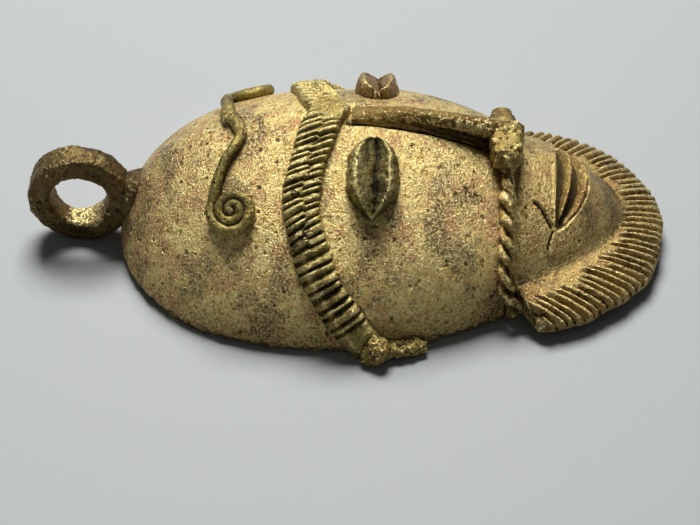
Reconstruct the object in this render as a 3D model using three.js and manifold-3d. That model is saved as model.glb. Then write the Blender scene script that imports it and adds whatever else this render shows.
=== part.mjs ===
// A mask pendant of cast brass, lying on its hollow back.
// The face was first built up in wax, from sheet, thread and pellets, and each of those pieces is one mesh here.
// Millimetres. +Y runs to the hanging loop, +Z out of the face, and Z = 0 is the plane that the back rim rests on.
// The right side of the face is at -X.
import * as THREE from "three";
import { mergeVertices } from "three/addons/utils/BufferGeometryUtils.js";
import Module from "manifold-3d";

const wasm = await Module();
wasm.setup();

// Fit of one piece on another
const seat = 0.3; // clearance under every piece that is laid on another
const bite = 0.8; // how far a piece would sink in before it is cut to its seat

// Head, a half egg that is pointed at the crest
const headWidth = 49;
const headHeight = 22.4;
const crownY = 32.4; // its end by the loop
const creaseY = -22; // where the cheeks stop above the lips
const creaseWidth = 0.706 * headWidth;
const creaseHeight = 0.705 * headHeight;
const headBluntness = 1.53; // exponent of the section: 1 is a roof, 2 an ellipse
const creaseBluntness = 1.97;
const shellWall = 1.8;

// Chin, a lower dome that carries on from the crease
const chinStep = 0.6; // its drop below the cheeks at the crease
const chinLength = 17.9; // from the crease to where it would meet the table
const chinBluntness = 1.8;
const chinHem = 2.0; // depth of its wall below the beard's upper edge
const chinFootLength = 2.0; // stretch by the crease that reaches the table

// Beard, a sloping collar with cut ribs
const beardSetBack = 1.4; // middle of its round edge past the crease
const beardRadius = 21.6;
const beardRimZ = 3.1; // top of its outer edge
const beardRise = 3.6; // from the outer edge up to the chin
const beardSlopeRun = 9.6; // width over which it falls
const beardThickness = 1.6;
const beardHalfTurn = 78; // degrees from the chin tip to the corner of the outer edge
const beardInnerTurn = 90; // the same at the inner edge
const ribCount = 42;
const ribLength = 5.4;
const ribGrooveWidth = 0.7;
const ribGrooveDepth = 0.6;
const ribLean = 17; // degrees that the whole fan leans to the left side
const ribFan = 46; // degrees that it opens to each side

// Hanging loop
const loopOuterRadius = 7.25;
const loopHoleRadius = 4.1;
const loopWidth = 4.4;
const loopTableGap = 0.1;
const loopReach = 12.6; // from the crown to the far side of the loop
const stemRadius = 2.1;
const stemRootRadius = 3.2;

// Threads laid on the forehead
const threadRadius = 0.7;
const threadSink = 0.15;
const scrollRadius = 3.3; // to the thread's middle on the outer turn
const scrollCoreRadius = 0.85;
const scrollTurns = 1.7;
const coilStart = 25; // degrees from the line through its middle towards the loop
const coilStepsPerTurn = 13;
const scrollCentre = [-12.3, 14.9];
const rightArm = [[-2.3, 14.1], [-4.6, 15.5], [-5.9, 16.1], [-8.2, 16.9]];
const leftArm = [[-1.5, 14.6], [0.8, 15.5], [3.6, 16.1], [7.6, 16.9]];

// Headband, a ribbed strip: its middle line as degrees round the section and Y
const bandWidth = 5.0;
const bandThickness = 1.5;
const bandRibCount = 26;
const bandRibDepth = 0.45;
const bandCrestY = 2.2;
const bandPeak = [107, 4.2];
const bandLine = [bandPeak, [124, 5.7], [134, 5.2], [149, 2.9], [163, -0.8]];
const bandEndTurn = 174;

// Ear, a pellet and a short bar where the headband ends on the rim
const earPelletRadius = 2.0;
const earPelletY = -3.6;
const earPelletOut = 1.2; // its middle beyond the rim
const earBarLength = 6.6;
const earBarReach = 2.2;
const earBarThickness = 1.9;

// Eye, a slit pellet
const eyeTurn = 118.5; // degrees round the section
const eyeY = -3.8;
const eyeLength = 11.6;
const eyeWidth = 7.4;
const eyeHeight = 2.2;
const eyeSlitDepth = 1.5;

// Nose: a bar along the crest that stands higher towards its tip
const noseWidth = 2.5;
const nosePastCrease = 2;
const noseRiseStart = 0.6; // top of the bar above the crest
const noseRiseEnd = 6.0;
const nostrilReach = 3.7;
const nostrilRadius = 2.3;
const nostrilTipRadius = 1.5;
const nostrilBack = 2.7; // its middle behind the tip of the nose
const nostrilDrop = 1.9; // its middle below the top of the nose

// Twisted cord on each cheek
const strandRadius = 0.5;
const strandOffset = 0.62; // each strand's middle from the cord's middle
const cordLift = 0.8;
const cordPitch = 4.9;
const cordStartTurn = 108;
const cordEndTurn = 172;

// Lips, two bars across the chin
const lipWidth = 2.0;
const lipHeight = 1.2;
const lipHalfTurn = 46; // degrees round the chin to each side of the crest
const upperLipBack = 8.7; // behind the crease
const lipGap = 0.6; // the mouth

const brass = 0x9a7b45;
const darkBrass = 0x5d5139;
const greenBrass = 0x7d7340;

const radians = THREE.MathUtils.degToRad;
const lerp = THREE.MathUtils.lerp;

// Solids

function toSolid(geometry) {
  const bare = geometry.clone();
  bare.deleteAttribute("normal");
  bare.deleteAttribute("uv");
  const merged = mergeVertices(bare, 1e-4);
  return new wasm.Manifold(
    new wasm.Mesh({
      numProp: 3,
      vertProperties: new Float32Array(merged.attributes.position.array),
      triVerts: new Uint32Array(merged.index.array),
    }),
  );
}

function toGeometry(solid) {
  const mesh = solid.getMesh();
  const geometry = new THREE.BufferGeometry();
  geometry.setAttribute("position", new THREE.BufferAttribute(mesh.vertProperties, 3));
  geometry.setIndex(new THREE.BufferAttribute(mesh.triVerts, 1));
  geometry.computeVertexNormals();
  return geometry;
}

// Joins rings of points, one after another, and closes both ends.
function loft(rings) {
  const sides = rings[0].length;
  const points = rings.flat();
  const index = [];
  for (let ring = 0; ring + 1 < rings.length; ring++) {
    for (let side = 0; side < sides; side++) {
      const a = ring * sides + side;
      const b = ring * sides + ((side + 1) % sides);
      index.push(a, b, a + sides, b, b + sides, a + sides);
    }
  }
  const closeEnd = (ring, facesBack) => {
    const middle = new THREE.Vector3();
    rings[ring].forEach((point) => middle.addScaledVector(point, 1 / sides));
    points.push(middle);
    for (let side = 0; side < sides; side++) {
      const a = ring * sides + side;
      const b = ring * sides + ((side + 1) % sides);
      index.push(...(facesBack ? [b, a, points.length - 1] : [a, b, points.length - 1]));
    }
  };
  closeEnd(0, true);
  closeEnd(rings.length - 1, false);
  const geometry = new THREE.BufferGeometry().setFromPoints(points);
  geometry.setIndex(index);
  const solid = toSolid(geometry);
  if (solid.volume() > 0) return solid;
  index.reverse();
  geometry.setIndex(index);
  return toSolid(geometry);
}

function box(low, high) {
  const size = high.map((value, axis) => value - low[axis]);
  const geometry = new THREE.BoxGeometry(...size);
  geometry.translate(...low.map((value, axis) => value + size[axis] / 2));
  return toSolid(geometry);
}

// Surfaces of the head and the chin
// Each is a row of half sections across the pendant, |x / halfWidth|^n + |z / height|^n = 1, and both can be
// grown or shrunk all over, for the clearance under a piece and for the inside of the shell.

function headDome(grow = 0) {
  const half = headWidth / 2;
  return {
    halfWidth: (y) =>
      y > 0
        ? (half + grow) * Math.sqrt(Math.max(0, 1 - (y / (crownY + grow)) ** 2.5))
        : half + grow - (half - creaseWidth / 2) * (y / creaseY) ** 1.88,
    height: (y) =>
      y > 0
        ? (headHeight + grow) * Math.sqrt(Math.max(0, 1 - (y / (crownY + grow)) ** 2.38))
        : headHeight + grow - (headHeight - creaseHeight) * (y / creaseY) ** 1.91,
    bluntness: (y) => (y > 0 ? headBluntness : lerp(headBluntness, creaseBluntness, y / creaseY)),
  };
}

function chinDome(grow = 0) {
  const along = (y) => THREE.MathUtils.clamp((creaseY - y) / (chinLength + grow), 0, 1);
  return {
    halfWidth: (y) => (creaseWidth / 2 - seat + grow) * (1 - along(y) ** 1.4) ** 0.55,
    height: (y) => (creaseHeight - chinStep + grow) * (1 - along(y) ** 2) ** 0.55,
    bluntness: () => chinBluntness,
  };
}

// A point on a dome, by its angle round the section (0 at the left rim, 90 at the crest) and its Y.
function onDome(dome, degrees, y) {
  const power = 2 / dome.bluntness(y);
  const across = Math.cos(radians(degrees));
  const up = Math.abs(Math.sin(radians(degrees)));
  return new THREE.Vector3(
    dome.halfWidth(y) * Math.sign(across) * Math.abs(across) ** power,
    y,
    dome.height(y) * up ** power,
  );
}

function normalOn(dome, degrees, y) {
  const step = 0.2;
  const round = onDome(dome, degrees + step, y).sub(onDome(dome, degrees - step, y));
  const along = onDome(dome, degrees, y + step).sub(onDome(dome, degrees, y - step));
  return along.cross(round).normalize();
}

// The angle round the section at which a dome has this X.
function turnAt(dome, x, y) {
  const share = Math.min(1, Math.abs(x) / dome.halfWidth(y)) ** (dome.bluntness(y) / 2);
  return THREE.MathUtils.radToDeg(Math.acos(Math.sign(x) * share));
}

// A place on a dome: the point, the way out of the surface, and the millimetres in a degree round the section.
function placeOn(dome, degrees, y) {
  const step = 0.5;
  const spread = onDome(dome, degrees + step, y).distanceTo(onDome(dome, degrees - step, y));
  return { point: onDome(dome, degrees, y), out: normalOn(dome, degrees, y), perDegree: spread / (2 * step) };
}

// Half sections at a list of Y, closed by a straight foot at floorAt(y).
function domeSolid(dome, stations, floorAt, steps) {
  const rings = stations.map((y) => {
    const floor = floorAt(y);
    const lift = Math.max(0, floor) / dome.height(y);
    const start = THREE.MathUtils.radToDeg(Math.asin(Math.min(1, lift) ** (dome.bluntness(y) / 2)));
    const ring = [];
    for (let step = 0; step <= steps; step++) {
      ring.push(onDome(dome, lerp(start, 180 - start, step / steps), y));
    }
    if (floor < 0) {
      ring.push(new THREE.Vector3(-dome.halfWidth(y), y, floor));
      ring.push(new THREE.Vector3(dome.halfWidth(y), y, floor));
    }
    return ring;
  });
  return loft(rings);
}

// Stations that crowd together towards the round end of a dome.
function stationsTo(start, end, count, reach = 0.999) {
  const stations = [];
  for (let step = 0; step <= count; step++) {
    stations.push(start + (end - start) * Math.sin((Math.PI / 2) * reach * (step / count)));
  }
  return stations;
}

const head = headDome();
const chin = chinDome();
const chinStart = creaseY - seat;
const beardCentreY = creaseY - beardSetBack;
const belowTable = -1;

function headBody(grow, steps = 26, count = 15) {
  const dome = headDome(grow);
  const floor = grow === 0 ? 0 : belowTable;
  const overrun = grow === 0 ? 0 : 2 * seat;
  const front = stationsTo(0, crownY + grow, count).reverse();
  const back = [0.25, 0.5, 0.75, 1].map((share) => share * creaseY);
  back.push(...(overrun ? [creaseY - overrun] : []));
  return domeSolid(dome, [...front, ...back], () => floor, steps);
}

function chinFloor(y) {
  const bottom = beardTop(Math.hypot(chin.halfWidth(y) * 0.9, y - beardCentreY)) - chinHem;
  return y > creaseY - chinFootLength ? 0 : bottom;
}

function chinBody(grow, floorAt, start = chinStart) {
  const dome = chinDome(grow);
  const stations = stationsTo(start, creaseY - chinLength - grow, 13, 0.93);
  stations.splice(1, 0, creaseY - chinFootLength + 0.01, creaseY - chinFootLength - 0.4);
  stations.sort((a, b) => b - a);
  return domeSolid(dome, stations, floorAt, 22);
}

// What every laid piece is cut by: both domes with the clearance on them.
const headSeat = headBody(seat);
const chinSeat = chinBody(seat, () => belowTable, creaseY + seat);
const carrier = headSeat.add(chinSeat);

// A strip along a line of places: each section point is [across, up] from the place.
function strip(places, sectionAt) {
  const rings = places.map((place, index) => {
    const before = places[Math.max(0, index - 1)].point;
    const after = places[Math.min(places.length - 1, index + 1)].point;
    const along = after.clone().sub(before).normalize();
    const across = new THREE.Vector3().crossVectors(along, place.out).normalize();
    const out = new THREE.Vector3().crossVectors(across, along).normalize();
    return sectionAt(index / (places.length - 1)).map(([side, up]) =>
      place.point.clone().addScaledVector(across, side).addScaledVector(out, up),
    );
  });
  return loft(rings);
}

function circleSection(radius, sides, lift = 0) {
  const section = [];
  for (let side = 0; side < sides; side++) {
    const angle = (2 * Math.PI * side) / sides;
    section.push([radius * Math.cos(angle), lift + radius * Math.sin(angle)]);
  }
  return section;
}

// Shells

function headShell() {
  return headBody(0).subtract(headBody(-shellWall, 16, 11));
}

function chinShell() {
  const hollow = chinBody(-shellWall, () => belowTable, creaseY + shellWall);
  return chinBody(0, chinFloor).subtract(hollow);
}

// Beard

function beardTop(radius) {
  const run = Math.max(0, radius - (beardRadius - beardSlopeRun)) / beardSlopeRun;
  return beardRimZ + beardRise * (1 - run ** 1.8);
}

function beardPoint(radius, turn, z) {
  const angle = radians(turn);
  return new THREE.Vector3(radius * Math.sin(angle), beardCentreY - radius * Math.cos(angle), z);
}

function beardPlate() {
  const columns = 30;
  const insideRadius = beardRadius - beardSlopeRun;
  const radii = [0, 0.3, 0.55, 0.8, 1].map((share) => insideRadius + share * beardSlopeRun);
  const rings = [];
  for (let column = 0; column <= columns; column++) {
    const side = (2 * column) / columns - 1;
    const turnAtRadius = (radius) => {
      const outward = Math.max(0, (radius - beardRadius + ribLength) / ribLength);
      return side * lerp(beardInnerTurn, beardHalfTurn, outward);
    };
    const top = radii.map((radius) => beardPoint(radius, turnAtRadius(radius), beardTop(radius)));
    const under = radii.map((radius) => beardPoint(radius, turnAtRadius(radius), beardTop(radius) - beardThickness));
    rings.push([...top, ...under.reverse()]);
  }
  return loft(rings);
}

// One groove between two ribs: a wedge whose edge sinks in towards the outer edge.
function beardGroove(turn) {
  const direction = radians(ribLean + ribFan * Math.sin(radians(turn)));
  const along = new THREE.Vector3(Math.sin(direction), -Math.cos(direction), 0);
  const across = new THREE.Vector3(along.y, -along.x, 0);
  const outer = beardPoint(beardRadius, turn, 0);
  const clearAbove = 1;
  const section = (distance, depth) => {
    const middle = outer.clone().addScaledVector(along, distance);
    const surface = beardTop(Math.hypot(middle.x, middle.y - beardCentreY));
    const halfWidth = (ribGrooveWidth / 2) * (1 + clearAbove / ribGrooveDepth);
    const bottom = middle.clone().setZ(surface - depth);
    const left = middle.clone().addScaledVector(across, halfWidth).setZ(surface + clearAbove);
    const right = middle.clone().addScaledVector(across, -halfWidth).setZ(surface + clearAbove);
    return [bottom, right, left];
  };
  return loft([section(-ribLength, 0.05), section(-ribLength * 0.8, ribGrooveDepth), section(1, ribGrooveDepth)]);
}

function beardCollar() {
  let collar = beardPlate().subtract(chinSeat);
  for (let rib = 1; rib < ribCount; rib++) {
    const turn = beardHalfTurn * ((2 * rib) / ribCount - 1);
    collar = collar.subtract(beardGroove(turn));
  }
  return collar;
}

// Loop

function hangingLoop() {
  const middleRadius = (loopOuterRadius + loopHoleRadius) / 2;
  const halfBand = (loopOuterRadius - loopHoleRadius) / 2;
  const corners = 10;
  const profile = [];
  for (let corner = 0; corner <= corners; corner++) {
    const angle = (2 * Math.PI * corner) / corners;
    const round = (value) => Math.sign(value) * Math.abs(value) ** 0.75;
    profile.push(
      new THREE.Vector2(
        middleRadius + halfBand * round(Math.cos(angle)),
        (loopWidth / 2) * round(Math.sin(angle)),
      ),
    );
  }
  const loopZ = loopOuterRadius + loopTableGap;
  const loopY = crownY + loopReach - loopOuterRadius;
  const ring = new THREE.LatheGeometry(profile, 24);
  ring.rotateZ(Math.PI / 2);
  ring.translate(0, loopY, loopZ);
  const stemTop = loopY - loopHoleRadius - seat;
  const stemRoot = crownY - 2 * shellWall;
  const stem = new THREE.LatheGeometry(
    [
      new THREE.Vector2(0, 0),
      new THREE.Vector2(stemRootRadius, 0),
      new THREE.Vector2(lerp(stemRadius, stemRootRadius, 0.35), (stemTop - stemRoot) * 0.6),
      new THREE.Vector2(stemRadius, stemTop - stemRoot),
      new THREE.Vector2(0, stemTop - stemRoot),
    ],
    14,
  );
  stem.translate(0, stemRoot, loopZ);
  return toSolid(ring).add(toSolid(stem)).subtract(headSeat);
}

// Forehead

function threadAlong(line) {
  const places = line.map(([degrees, y]) => placeOn(head, degrees, y));
  return strip(places, () => circleSection(threadRadius, 6, threadRadius - threadSink));
}

// An arm from the crest that runs into a ram's-horn coil. side is 1 on the right of the face and -1 on the left.
function foreheadScroll(arm, side) {
  const [centreX, centreY] = scrollCentre;
  const centreTurn = turnAt(head, side * centreX, centreY);
  const { perDegree } = placeOn(head, centreTurn, centreY);
  const steps = Math.round(scrollTurns * coilStepsPerTurn);
  const coil = [];
  for (let step = 0; step <= steps; step++) {
    const radius = lerp(scrollRadius, scrollCoreRadius, step / steps);
    const angle = radians(coilStart - (360 * step) / coilStepsPerTurn);
    const towardCrest = radius * Math.sin(angle);
    coil.push([centreTurn - (side * towardCrest) / perDegree, centreY + radius * Math.cos(angle)]);
  }
  const armLine = arm.map(([x, y]) => [turnAt(head, x, y), y]);
  const knots = [...armLine, ...coil].map(([degrees, y]) => new THREE.Vector3(degrees * perDegree, y, 0));
  const curve = new THREE.CatmullRomCurve3(knots, false, "centripetal");
  const line = curve.getPoints(arm.length * 3 + steps).map((knot) => [knot.x / perDegree, knot.y]);
  return threadAlong(line).subtract(carrier);
}

function headband() {
  const beyondCrest = [180 - bandPeak[0], 2 * bandCrestY - bandPeak[1]];
  const line = [beyondCrest, [90, bandCrestY], ...bandLine, [bandEndTurn, earPelletY]];
  const knots = line.map(([degrees, y]) => new THREE.Vector3(degrees, y, 0));
  const curve = new THREE.CatmullRomCurve3(knots, false, "centripetal");
  const rowsPerRib = 2;
  const rows = bandRibCount * rowsPerRib;
  const places = curve.getSpacedPoints(rows).map((knot) => placeOn(head, knot.x, knot.y));
  const section = (share) => {
    const inGroove = Math.round(share * rows) % rowsPerRib === 0;
    const top = bandThickness - (inGroove ? bandRibDepth : 0);
    const half = bandWidth / 2;
    return [[-half, -bite], [-half, top * 0.7], [-half * 0.75, top], [half * 0.75, top], [half, top * 0.7], [half, -bite]];
  };
  const rightHalf = box([-headWidth, creaseY, 0], [-seat / 2, crownY, 2 * headHeight]);
  return strip(places, section).subtract(headSeat).subtract(earBody(seat)).intersect(rightHalf);
}

// Ear

function earBody(grow) {
  const pelletX = -head.halfWidth(earPelletY) - earPelletOut;
  const pellet = new THREE.SphereGeometry(earPelletRadius + grow, 14, 9);
  pellet.translate(pelletX, earPelletY, earPelletRadius * 0.85);
  const barStart = earPelletY - earPelletRadius * 0.6 + grow;
  const barEnd = barStart - earBarLength - grow;
  const bar = (y) => {
    const rim = -head.halfWidth(y);
    return [
      [rim + bite, 0.2],
      [rim - earBarReach + 0.4, 0.2],
      [rim - earBarReach, 0.6],
      [rim - earBarReach, earBarThickness - 0.3],
      [rim - earBarReach + 0.5, earBarThickness + 0.2 + grow],
      [rim + bite, earBarThickness + 0.2 + grow],
    ].map(([x, z]) => new THREE.Vector3(x, y, z));
  };
  return toSolid(pellet).add(loft([bar(barStart), bar((barStart + barEnd) / 2), bar(barEnd)]));
}

function ear() {
  const aboveTable = box([-headWidth, creaseY, 0], [0, crownY, headHeight]);
  return earBody(0).subtract(headSeat).intersect(aboveTable);
}

// Eye

function eye() {
  const { perDegree } = placeOn(head, eyeTurn, eyeY);
  const rows = 14;
  const places = [];
  for (let row = 0; row <= rows; row++) {
    const along = (row / rows - 0.5) * eyeLength;
    places.push(placeOn(head, eyeTurn + along / perDegree, eyeY));
  }
  const section = (share) => {
    const fromMiddle = Math.abs(2 * share - 1);
    const half = Math.max(0.25, (eyeWidth / 2) * (1 - fromMiddle ** 1.9));
    const top = eyeHeight * (1 - 0.45 * fromMiddle ** 2);
    const slit = Math.max(0.3, top - eyeSlitDepth * (1 - fromMiddle ** 4));
    return [[-half, -bite], [-half, 0.35 * top], [-half * 0.6, top], [-half * 0.1, slit], [half * 0.1, slit],
      [half * 0.6, top], [half, 0.35 * top], [half, -bite]];
  };
  return strip(places, section).subtract(headSeat);
}

// Nose

// The nose starts where the two halves of the headband meet on the crest.
const bandRise = onDome(head, ...bandPeak).sub(onDome(head, 90, bandCrestY));
const bandRake = Math.atan2(bandRise.y, Math.hypot(bandRise.x, bandRise.z));
const noseStartY = bandCrestY - bandWidth / 2 / Math.cos(bandRake) - seat;
const noseEndY = creaseY - nosePastCrease;

function noseTop(y) {
  const share = THREE.MathUtils.clamp((y - noseStartY) / (noseEndY - noseStartY), 0, 1);
  const crest = y > creaseY ? head.height(y) : creaseHeight;
  return crest + lerp(noseRiseStart, noseRiseEnd, share ** 1.25);
}

function noseBody() {
  const stations = [0, 0.12, 0.3, 0.5, 0.7, 0.88, 0.97, 1].map((share) => lerp(noseStartY, noseEndY, share));
  const rings = stations.map((y, index) => {
    const last = index === stations.length - 1;
    const half = noseWidth / 2;
    const top = noseTop(y) - (last ? 0.8 : 0);
    const base = creaseHeight * 0.8;
    return [[-half, base], [-half, top - 0.9], [-half * 0.6, top - 0.15], [half * 0.6, top - 0.15], [half, top - 0.9],
      [half, base]].map(([x, z]) => new THREE.Vector3(x, y, z));
  });
  return loft(rings);
}

function noseRidge() {
  return noseBody().subtract(carrier);
}

function nostril() {
  const y = noseEndY + nostrilBack;
  const knob = new THREE.LatheGeometry(
    [
      new THREE.Vector2(0, 0),
      new THREE.Vector2(nostrilRadius, 0),
      new THREE.Vector2(nostrilRadius, nostrilReach * 0.35),
      new THREE.Vector2(nostrilTipRadius, nostrilReach * 0.9),
      new THREE.Vector2(nostrilTipRadius * 0.6, nostrilReach),
      new THREE.Vector2(0, nostrilReach),
    ],
    14,
  );
  knob.rotateZ(Math.PI / 2);
  knob.translate(-noseWidth / 2 - seat, y, noseTop(y) - nostrilDrop);
  return toSolid(knob).subtract(carrier);
}

// Cheek cord

function cordStrand(phase) {
  const middle = [];
  const samples = 60;
  for (let sample = 0; sample <= samples; sample++) {
    middle.push(onDome(head, lerp(cordStartTurn, cordEndTurn, sample / samples), creaseY));
  }
  const length = middle.slice(1).reduce((sum, point, index) => sum + point.distanceTo(middle[index]), 0);
  const steps = Math.round((length / cordPitch) * 8);
  const alongY = new THREE.Vector3(0, 1, 0);
  const places = [];
  for (let step = 0; step <= steps; step++) {
    const degrees = lerp(cordStartTurn, cordEndTurn, step / steps);
    const twist = phase + (2 * Math.PI * length * step) / (steps * cordPitch);
    const outward = normalOn(head, degrees, creaseY).setY(0).normalize();
    const point = onDome(head, degrees, creaseY)
      .addScaledVector(outward, cordLift + strandOffset * Math.sin(twist))
      .addScaledVector(alongY, -seat / 2 + strandOffset * Math.cos(twist));
    places.push({ point, out: outward });
  }
  return strip(places, () => circleSection(strandRadius, 5)).subtract(carrier);
}

// Lips

function lip(y, sag) {
  const rows = 20;
  const places = [];
  for (let row = 0; row <= rows; row++) {
    const side = (2 * row) / rows - 1;
    places.push(placeOn(chin, 90 + lipHalfTurn * side, y + sag * side * side));
  }
  const section = (share) => {
    const thin = 1 - 0.6 * Math.abs(2 * share - 1) ** 3;
    const half = (lipWidth / 2) * thin;
    const top = lipHeight * thin;
    return [[-half, -bite], [-half, top * 0.5], [-half * 0.4, top], [half * 0.6, top], [half, top * 0.5], [half, -bite]];
  };
  return strip(places, section).subtract(chinSeat);
}

// The pendant

const pendant = new THREE.Group();

function metal(colour) {
  return new THREE.MeshStandardMaterial({ color: colour, metalness: 0.9, roughness: 0.45 });
}

function place(name, solid, colour, mirrored = false) {
  const mesh = new THREE.Mesh(toGeometry(solid), metal(colour));
  mesh.name = name;
  mesh.scale.x = mirrored ? -1 : 1;
  pendant.add(mesh);
}

function placePair(name, solid, colour) {
  place(name + "_right", solid, colour);
  place(name + "_left", solid, colour, true);
}

const upperLipY = creaseY - upperLipBack;
const lowerLipY = upperLipY - lipWidth - lipGap;

place("head_shell", headShell(), brass);
place("chin_shell", chinShell(), brass);
place("beard_collar", beardCollar(), brass);
place("hanging_loop", hangingLoop(), darkBrass);
place("forehead_scroll_right", foreheadScroll(rightArm, 1), greenBrass);
place("forehead_scroll_left", foreheadScroll(leftArm, -1), greenBrass);
placePair("headband", headband(), greenBrass);
placePair("ear", ear(), brass);
placePair("eye", eye(), darkBrass);
place("nose_ridge", noseRidge(), brass);
placePair("nostril", nostril(), brass);
placePair("cheek_cord_a", cordStrand(0), darkBrass);
placePair("cheek_cord_b", cordStrand(Math.PI), darkBrass);
place("upper_lip", lip(upperLipY, 0.2), brass);
place("lower_lip", lip(lowerLipY, 1.0), brass);

export default pendant;
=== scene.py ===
"""Mask pendant of cast brass: its worn surface and fine shape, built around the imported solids.

Metres. +Y runs to the hanging loop, +Z out of the face, and Z = 0 is the plane that the back rim rests on.
The right side of the face is at -X. Each piece is one piece of the wax that the pendant was modelled in:
sheet, thread and pellets, made flat or straight first and then bent over the head or the chin.
"""

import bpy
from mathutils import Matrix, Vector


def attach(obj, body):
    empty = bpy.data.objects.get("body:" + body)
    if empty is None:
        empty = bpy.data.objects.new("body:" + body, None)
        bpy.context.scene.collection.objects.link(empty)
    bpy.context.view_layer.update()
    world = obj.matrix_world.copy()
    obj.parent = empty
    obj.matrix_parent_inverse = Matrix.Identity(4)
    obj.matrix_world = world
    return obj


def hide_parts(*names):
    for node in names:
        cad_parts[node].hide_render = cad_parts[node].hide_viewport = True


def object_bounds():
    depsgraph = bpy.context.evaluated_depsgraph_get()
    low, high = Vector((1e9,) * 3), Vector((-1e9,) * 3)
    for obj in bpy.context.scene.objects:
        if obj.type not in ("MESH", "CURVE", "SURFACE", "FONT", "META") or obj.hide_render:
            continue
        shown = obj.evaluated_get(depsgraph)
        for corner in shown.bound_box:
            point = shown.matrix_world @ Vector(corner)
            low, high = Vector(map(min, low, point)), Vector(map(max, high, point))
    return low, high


bl_info = {
    "name": "Mask Pendant",
    "version": (1, 0, 0),
    "blender": (4, 5, 0),
    "location": "3D View > Sidebar > Pendant",
    "description": "Builds a cast brass mask pendant, piece by piece, with its patina and a plain studio",
    "category": "Add Mesh",
}

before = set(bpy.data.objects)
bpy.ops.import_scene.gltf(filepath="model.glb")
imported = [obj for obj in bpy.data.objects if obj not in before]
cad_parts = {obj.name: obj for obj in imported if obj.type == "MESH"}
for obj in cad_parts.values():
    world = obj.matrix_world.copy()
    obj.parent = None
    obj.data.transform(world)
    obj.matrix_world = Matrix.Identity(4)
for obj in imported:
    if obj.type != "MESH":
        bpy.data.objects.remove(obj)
cad_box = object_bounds()

import math
from contextlib import contextmanager

import bpy
import numpy as np
from bpy.props import FloatProperty, FloatVectorProperty, IntProperty, PointerProperty
from mathutils import Matrix, Vector
from mathutils.bvhtree import BVHTree

MM = 0.001
LOWEST, HIGHEST = (Vector(corner) for corner in cad_box)


def length(name, description, default):
    return FloatProperty(name=name, description=description, default=default, unit="LENGTH",
                         subtype="DISTANCE")


def share(name, description, default):
    return FloatProperty(name=name, description=description, default=default, min=0, soft_max=1,
                         subtype="FACTOR")


def number(name, description, default):
    return FloatProperty(name=name, description=description, default=default)


def turn(name, description, default):
    return FloatProperty(name=name, description=description, default=math.radians(default), subtype="ANGLE")


def colour(name, description, default):
    return FloatVectorProperty(name=name, description=description, default=default, size=3, min=0, max=1,
                               subtype="COLOR")


# Settings


class PendantHead(bpy.types.PropertyGroup):
    width: length("Width", "Width of the head at the brow", 49 * MM)
    height: length("Height", "Height of the crest above the rim", 22.4 * MM)
    crown: length("Crown", "End of the head by the loop, along Y", 32.4 * MM)
    crease: length("Crease", "End of the cheeks above the lips, behind the middle", 22 * MM)
    crease_width: length("Crease width", "Width of the head at the crease", 34.6 * MM)
    crease_height: length("Crease height", "Height of the head at the crease", 15.8 * MM)
    bluntness: number("Bluntness", "1 is a roof and 2 an ellipse", 1.53)
    crease_bluntness: number("Bluntness at the crease", "1 is a roof and 2 an ellipse", 1.97)
    wall: length("Wall", "Thickness of the cast wall", 1.8 * MM)
    relief: length("Relief", "Depth of the dents and lumps that the fingers left in the wax", 0.09 * MM)
    rim_relief: length("Rim relief", "Depth of the rough work along the rim", 0.34 * MM)
    trench: length("Trench", "Depth of the undercut along the foot of the nose", 0.8 * MM)


class PendantChin(bpy.types.PropertyGroup):
    step: length("Step", "Drop of the chin below the cheeks", 0.6 * MM)
    gap: length("Gap", "Gap between the cheeks and the chin", 0.3 * MM)
    reach: length("Reach", "From the crease to where the chin would meet the table", 17.9 * MM)
    bluntness: number("Bluntness", "1 is a roof and 2 an ellipse", 1.8)
    foot: length("Foot", "Stretch by the crease that reaches the table", 2 * MM)
    crack_depth: length("Crack depth", "Depth of the casting crack", 0.7 * MM)


class PendantBeard(bpy.types.PropertyGroup):
    set_back: length("Set back", "Middle of the round edge past the crease", 1.4 * MM)
    radius: length("Radius", "Radius of the outer edge", 21.6 * MM)
    rim_height: length("Rim height", "Top of the outer edge above the table", 3.1 * MM)
    rise: length("Rise", "From the outer edge up to the chin", 2.9 * MM)
    slope_run: length("Slope run", "Width over which it falls", 9.6 * MM)
    thickness: length("Thickness", "Thickness of the collar", 1.6 * MM)
    half_turn: turn("Half turn", "From the tip of the chin to the corner of the outer edge", 78)
    inner_turn: turn("Inner turn", "The same at the inner edge", 90)
    ribs: IntProperty(name="Ribs", description="Ribs cut in its edge", default=42)
    rib_length: length("Rib length", "Length of a rib", 6.3 * MM)
    groove_depth: length("Groove depth", "Depth of the cut between two ribs", 1.05 * MM)
    rib_bulge: length("Rib bulge", "How far a rib swells up between two cuts", 0.22 * MM)
    lean: turn("Lean", "Lean of the whole fan of ribs to the left side", 17)
    fan: turn("Fan", "How far the fan opens to each side", 46)


class PendantLoop(bpy.types.PropertyGroup):
    radius: length("Radius", "Outer radius of the loop", 7.25 * MM)
    hole: length("Hole radius", "Radius of the eye", 4.1 * MM)
    width: length("Width", "Width of the band along the eye", 4.4 * MM)
    lift: length("Lift", "Gap under the loop", 0.1 * MM)
    reach: length("Reach", "From the crown to the far side of the loop", 12.6 * MM)
    stem: length("Stem radius", "Radius of the stem at the loop", 2.6 * MM)
    stem_root: length("Stem root radius", "Radius of the stem at the head", 3.5 * MM)


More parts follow.
